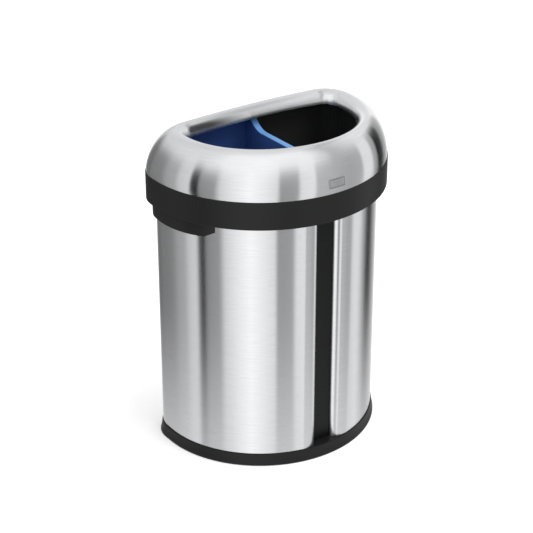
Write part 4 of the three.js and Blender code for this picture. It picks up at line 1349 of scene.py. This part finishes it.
@dataclass(frozen=True)
class Studio:
    """Pale floor, soft light, reflecting walls for the steel and the camera."""

    eye: Triple = (-2.0093, -2.7616, 2.1461)
    right: Triple = (0.81597485, -0.5780874, 0.0)
    above: Triple = (0.25909545, 0.36571524, 0.89393619)
    behind: Triple = (-0.51677325, -0.72942945, 0.44819426)
    lens: float = 108.07
    sensor: float = 36.0
    clip: Pair = (0.05, 60.0)
    floor_half_size: float = 8.0
    floor_colour: tuple[float, ...] = (0.95, 0.95, 0.95, 1)
    floor_roughness: float = 0.9
    floor_specular: float = 0.1
    floor_lift: float = 0.35
    wall_radius: float = 0.75
    wall_foot: float = -0.6
    wall_top: float = 2.4
    wall_rings: int = 50
    wall_segments: int = 720
    low_fade: Triple = (0.08, -0.4, 0.8)
    low_level: float = 0.95
    high_fade: Pair = (0.84, 1.04)
    flag: tuple[float, float, float, float, float] = (88.0, 46.0, 2.05, 0.38, 0.66)
    flag_softness: float = 0.6
    card_middle: Triple = (-0.072, 0.015, 0.895)
    card_size: Pair = (0.19, 0.21)
    card_normal: Triple = (-0.6, 0.8, 0.0)
    card_levels: Pair = (0.85, 0.06)
    card_fade: float = 0.45
    card_steps: int = 12
    lamp_place: Triple = (0.9, -1.2, 3.0)
    lamp_aim: Triple = (0.0, 0.0, 0.35)
    lamp_spread: float = 46.0
    lamp_strength: float = 1.5
    world_levels: Pair = (0.66, 0.95)
    bands: tuple[Pair, ...] = (
        (-180, 0.75), (-169, 0.65), (-164, 0.28), (-154, 0.2), (-142, 0.2), (-134, 0.26), (-124, 0.3),
        (-119, 0.45), (-110, 0.5), (-106, 0.75), (-97, 0.85), (-95, 0.0), (-90, 0.0), (-88, 0.32),
        (-76, 0.38), (-71, 0.85), (-60, 1.1), (-48, 1.3), (-36, 1.12), (-26, 0.95), (-23, 0.38),
        (-9, 0.42), (-6, 0.95), (6, 1.05), (8, 0.6), (22, 0.58), (41, 0.48), (56, 0.52), (58, 0.98),
        (71, 1.0), (73, 0.5), (79, 0.45), (81, 0.0), (92, 0.05), (95, 0.35), (106, 0.6), (111, 1.1),
        (136, 1.2), (160, 1.1), (172, 0.9), (180, 0.7),
    )
    sky: tuple[Pair, ...] = (
        (-180, 0.92), (-150, 0.84), (-120, 0.95), (-98, 0.98), (-76, 1.22), (-40, 1.28), (8, 1.2),
        (22, 0.9), (30, 0.62), (42, 0.74), (58, 0.94), (86, 1.1), (104, 0.98), (150, 0.92), (180, 0.92),
    )

    @staticmethod
    def at(stops: tuple[Pair, ...], azimuth: float) -> float:
        """The level at an azimuth between the stops round the wall."""
        for (a, low), (b, high) in zip(stops, stops[1:]):
            if a <= azimuth <= b:
                return low + (high - low) * (azimuth - a) / (b - a)
        return stops[-1][1]

    def glow(self, azimuth: float, height: float) -> float:
        """The wall's level: panels at the object's height, white towards the floor, a soft sky above."""
        level = self.at(self.bands, azimuth)
        start, end, most = self.low_fade
        sink = clamped((height - start) / (end - start)) * most
        level += max(0.0, self.low_level - level) * sink
        start, end = self.high_fade
        rise = clamped((height - start) / (end - start))
        level += (self.at(self.sky, azimuth) - level) * rise * rise * (3 - 2 * rise)
        middle, width, up, tall, dark = self.flag
        reach = math.hypot((azimuth - middle) / width, (height - up) / tall)
        return level + (dark - level) * clamped(1.0 + self.flag_softness - reach)

    def camera(self) -> None:
        """A camera at the photograph's place."""
        data = bpy.data.cameras.new("camera")
        data.lens, data.sensor_width = self.lens, self.sensor
        data.clip_start, data.clip_end = self.clip
        camera = put("camera", data)
        turn = Matrix((self.right, self.above, self.behind)).transposed().to_4x4()
        camera.matrix_world = Matrix.Translation(self.eye) @ turn
        bpy.context.scene.camera = camera

    def floor(self) -> None:
        """A white floor whose shadow stays and whose far part runs into the white background."""
        def recipe(tree: Tree) -> Inputs:
            """The floor's colour, and a lift that only the camera sees."""
            seen = tree.add("ShaderNodeLightPath").outputs["Is Camera Ray"]
            return {
                "Base Color": self.floor_colour,
                "Roughness": self.floor_roughness,
                "Specular IOR Level": self.floor_specular,
                "Emission Color": (1, 1, 1, 1),
                "Emission Strength": tree.math("MULTIPLY", seen, self.floor_lift),
            }

        bm = bmesh.new()
        bmesh.ops.create_grid(bm, x_segments=2, y_segments=2, size=self.floor_half_size)
        floor = object_of(bm, "studio_floor", principled("floor", recipe))
        floor.visible_glossy = False

    @staticmethod
    def reflected(bm: Mesh, name: str, one_sided: bool = False) -> None:
        """A glowing stage object that only reflections see, from both sides or from its front."""
        material, tree = new_material(name)
        level = tree.add("ShaderNodeAttribute", attribute_name="glow").outputs["Fac"]
        light = tree.add("ShaderNodeEmission", {"Strength": level}).outputs[0]
        if one_sided:
            behind = tree.add("ShaderNodeNewGeometry").outputs["Backfacing"]
            clear = tree.add("ShaderNodeBsdfTransparent").outputs[0]
            light = tree.add("ShaderNodeMixShader", {0: behind, 1: light, 2: clear}).outputs[0]
        tree.add("ShaderNodeOutputMaterial", {"Surface": light})
        material.cycles.emission_sampling = "NONE"
        stage = object_of(bm, name, material)
        stage.visible_camera = stage.visible_diffuse = False
        stage.visible_transmission = stage.visible_shadow = False

    def walls(self) -> None:
        """A round wall of light and dark panels that only reflections see."""
        bm = bmesh.new()
        tall, radius = self.wall_top - self.wall_foot, self.wall_radius
        bmesh.ops.create_cone(
            bm, cap_ends=False, segments=self.wall_segments, radius1=radius, radius2=radius, depth=tall,
        )
        upright = [edge for edge in bm.edges if abs(edge.verts[0].co.z - edge.verts[1].co.z) > tall / 2]
        bmesh.ops.subdivide_edges(bm, edges=upright, cuts=self.wall_rings)
        bmesh.ops.translate(bm, verts=bm.verts, vec=(0, 0, (self.wall_top + self.wall_foot) / 2))
        glow = bm.verts.layers.float.new("glow")
        for vert in bm.verts:
            vert[glow] = self.glow(math.degrees(math.atan2(vert.co.x, -vert.co.y)), vert.co.z)
        self.reflected(bm, "studio_wall")

    def card(self) -> None:
        """A dark card over the opening that fades to one end."""
        bm = bmesh.new()
        bmesh.ops.create_grid(bm, x_segments=self.card_steps, y_segments=1, size=0.5)
        glow = bm.verts.layers.float.new("glow")
        bright, dark = self.card_levels
        for vert in bm.verts:
            vert[glow] = bright + (dark - bright) * min(1.0, (vert.co.x + 0.5) / self.card_fade)
        normal, up = Vector(self.card_normal), Vector((0, 0, 1))
        turn = Matrix((up.cross(normal), up, normal)).transposed().to_4x4()
        size = Matrix.Diagonal((*self.card_size, 1, 1))
        bmesh.ops.transform(bm, matrix=Matrix.Translation(self.card_middle) @ turn @ size, verts=bm.verts)
        self.reflected(bm, "studio_card", one_sided=True)

    def lamp(self) -> None:
        """A soft, far lamp, hidden from reflections."""
        data = bpy.data.lights.new("key", "SUN")
        data.energy, data.angle = self.lamp_strength, math.radians(self.lamp_spread)
        lamp = put("key", data)
        turn = (Vector(self.lamp_aim) - Vector(self.lamp_place)).to_track_quat("-Z", "Y")
        lamp.matrix_world = Matrix.Translation(self.lamp_place) @ turn.to_matrix().to_4x4()
        lamp.visible_glossy = False

    def world(self) -> None:
        """White surroundings, with their own level for the light they give."""
        world = bpy.data.worlds.new("surroundings")
        world.use_nodes = True
        world.node_tree.nodes.clear()
        tree = Tree(world.node_tree)
        rays = tree.add("ShaderNodeLightPath").outputs
        seen = tree.math("MAXIMUM", rays["Is Camera Ray"], rays["Is Transmission Ray"])
        given = tree.remap(rays["Is Glossy Ray"], (0, 1), self.world_levels)
        level = tree.math("MAXIMUM", seen, given)
        back = tree.add("ShaderNodeBackground", {"Color": (1, 1, 1, 1), "Strength": level})
        tree.add("ShaderNodeOutputWorld", {"Surface": back.outputs[0]})
        bpy.context.scene.world = world

    def build(self) -> None:
        """Builds the studio."""
        self.camera()
        self.floor()
        self.walls()
        self.card()
        self.world()
        self.lamp()
        bpy.context.scene.view_settings.view_transform = "Standard"


def main() -> None:
    """Builds the object and the studio."""
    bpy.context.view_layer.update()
    BodyAssembly().build()
    Grips().build()
    LidAssembly().build()
    BandedBucket("bucket_left", "blue_bucket", Body.BLUE, BLUE, divider=0.0061, drop=0.0, across=-1).build()
    Bucket("bucket_right", "black_bucket", Body.BLACK, BUCKET_BLACK, divider=0.0038, drop=0.0028).build()
    for name in sorted(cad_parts):
        if "screw" in name:
            Screw(name).build()
    Studio().build()


if __name__ == "__main__":
    main()
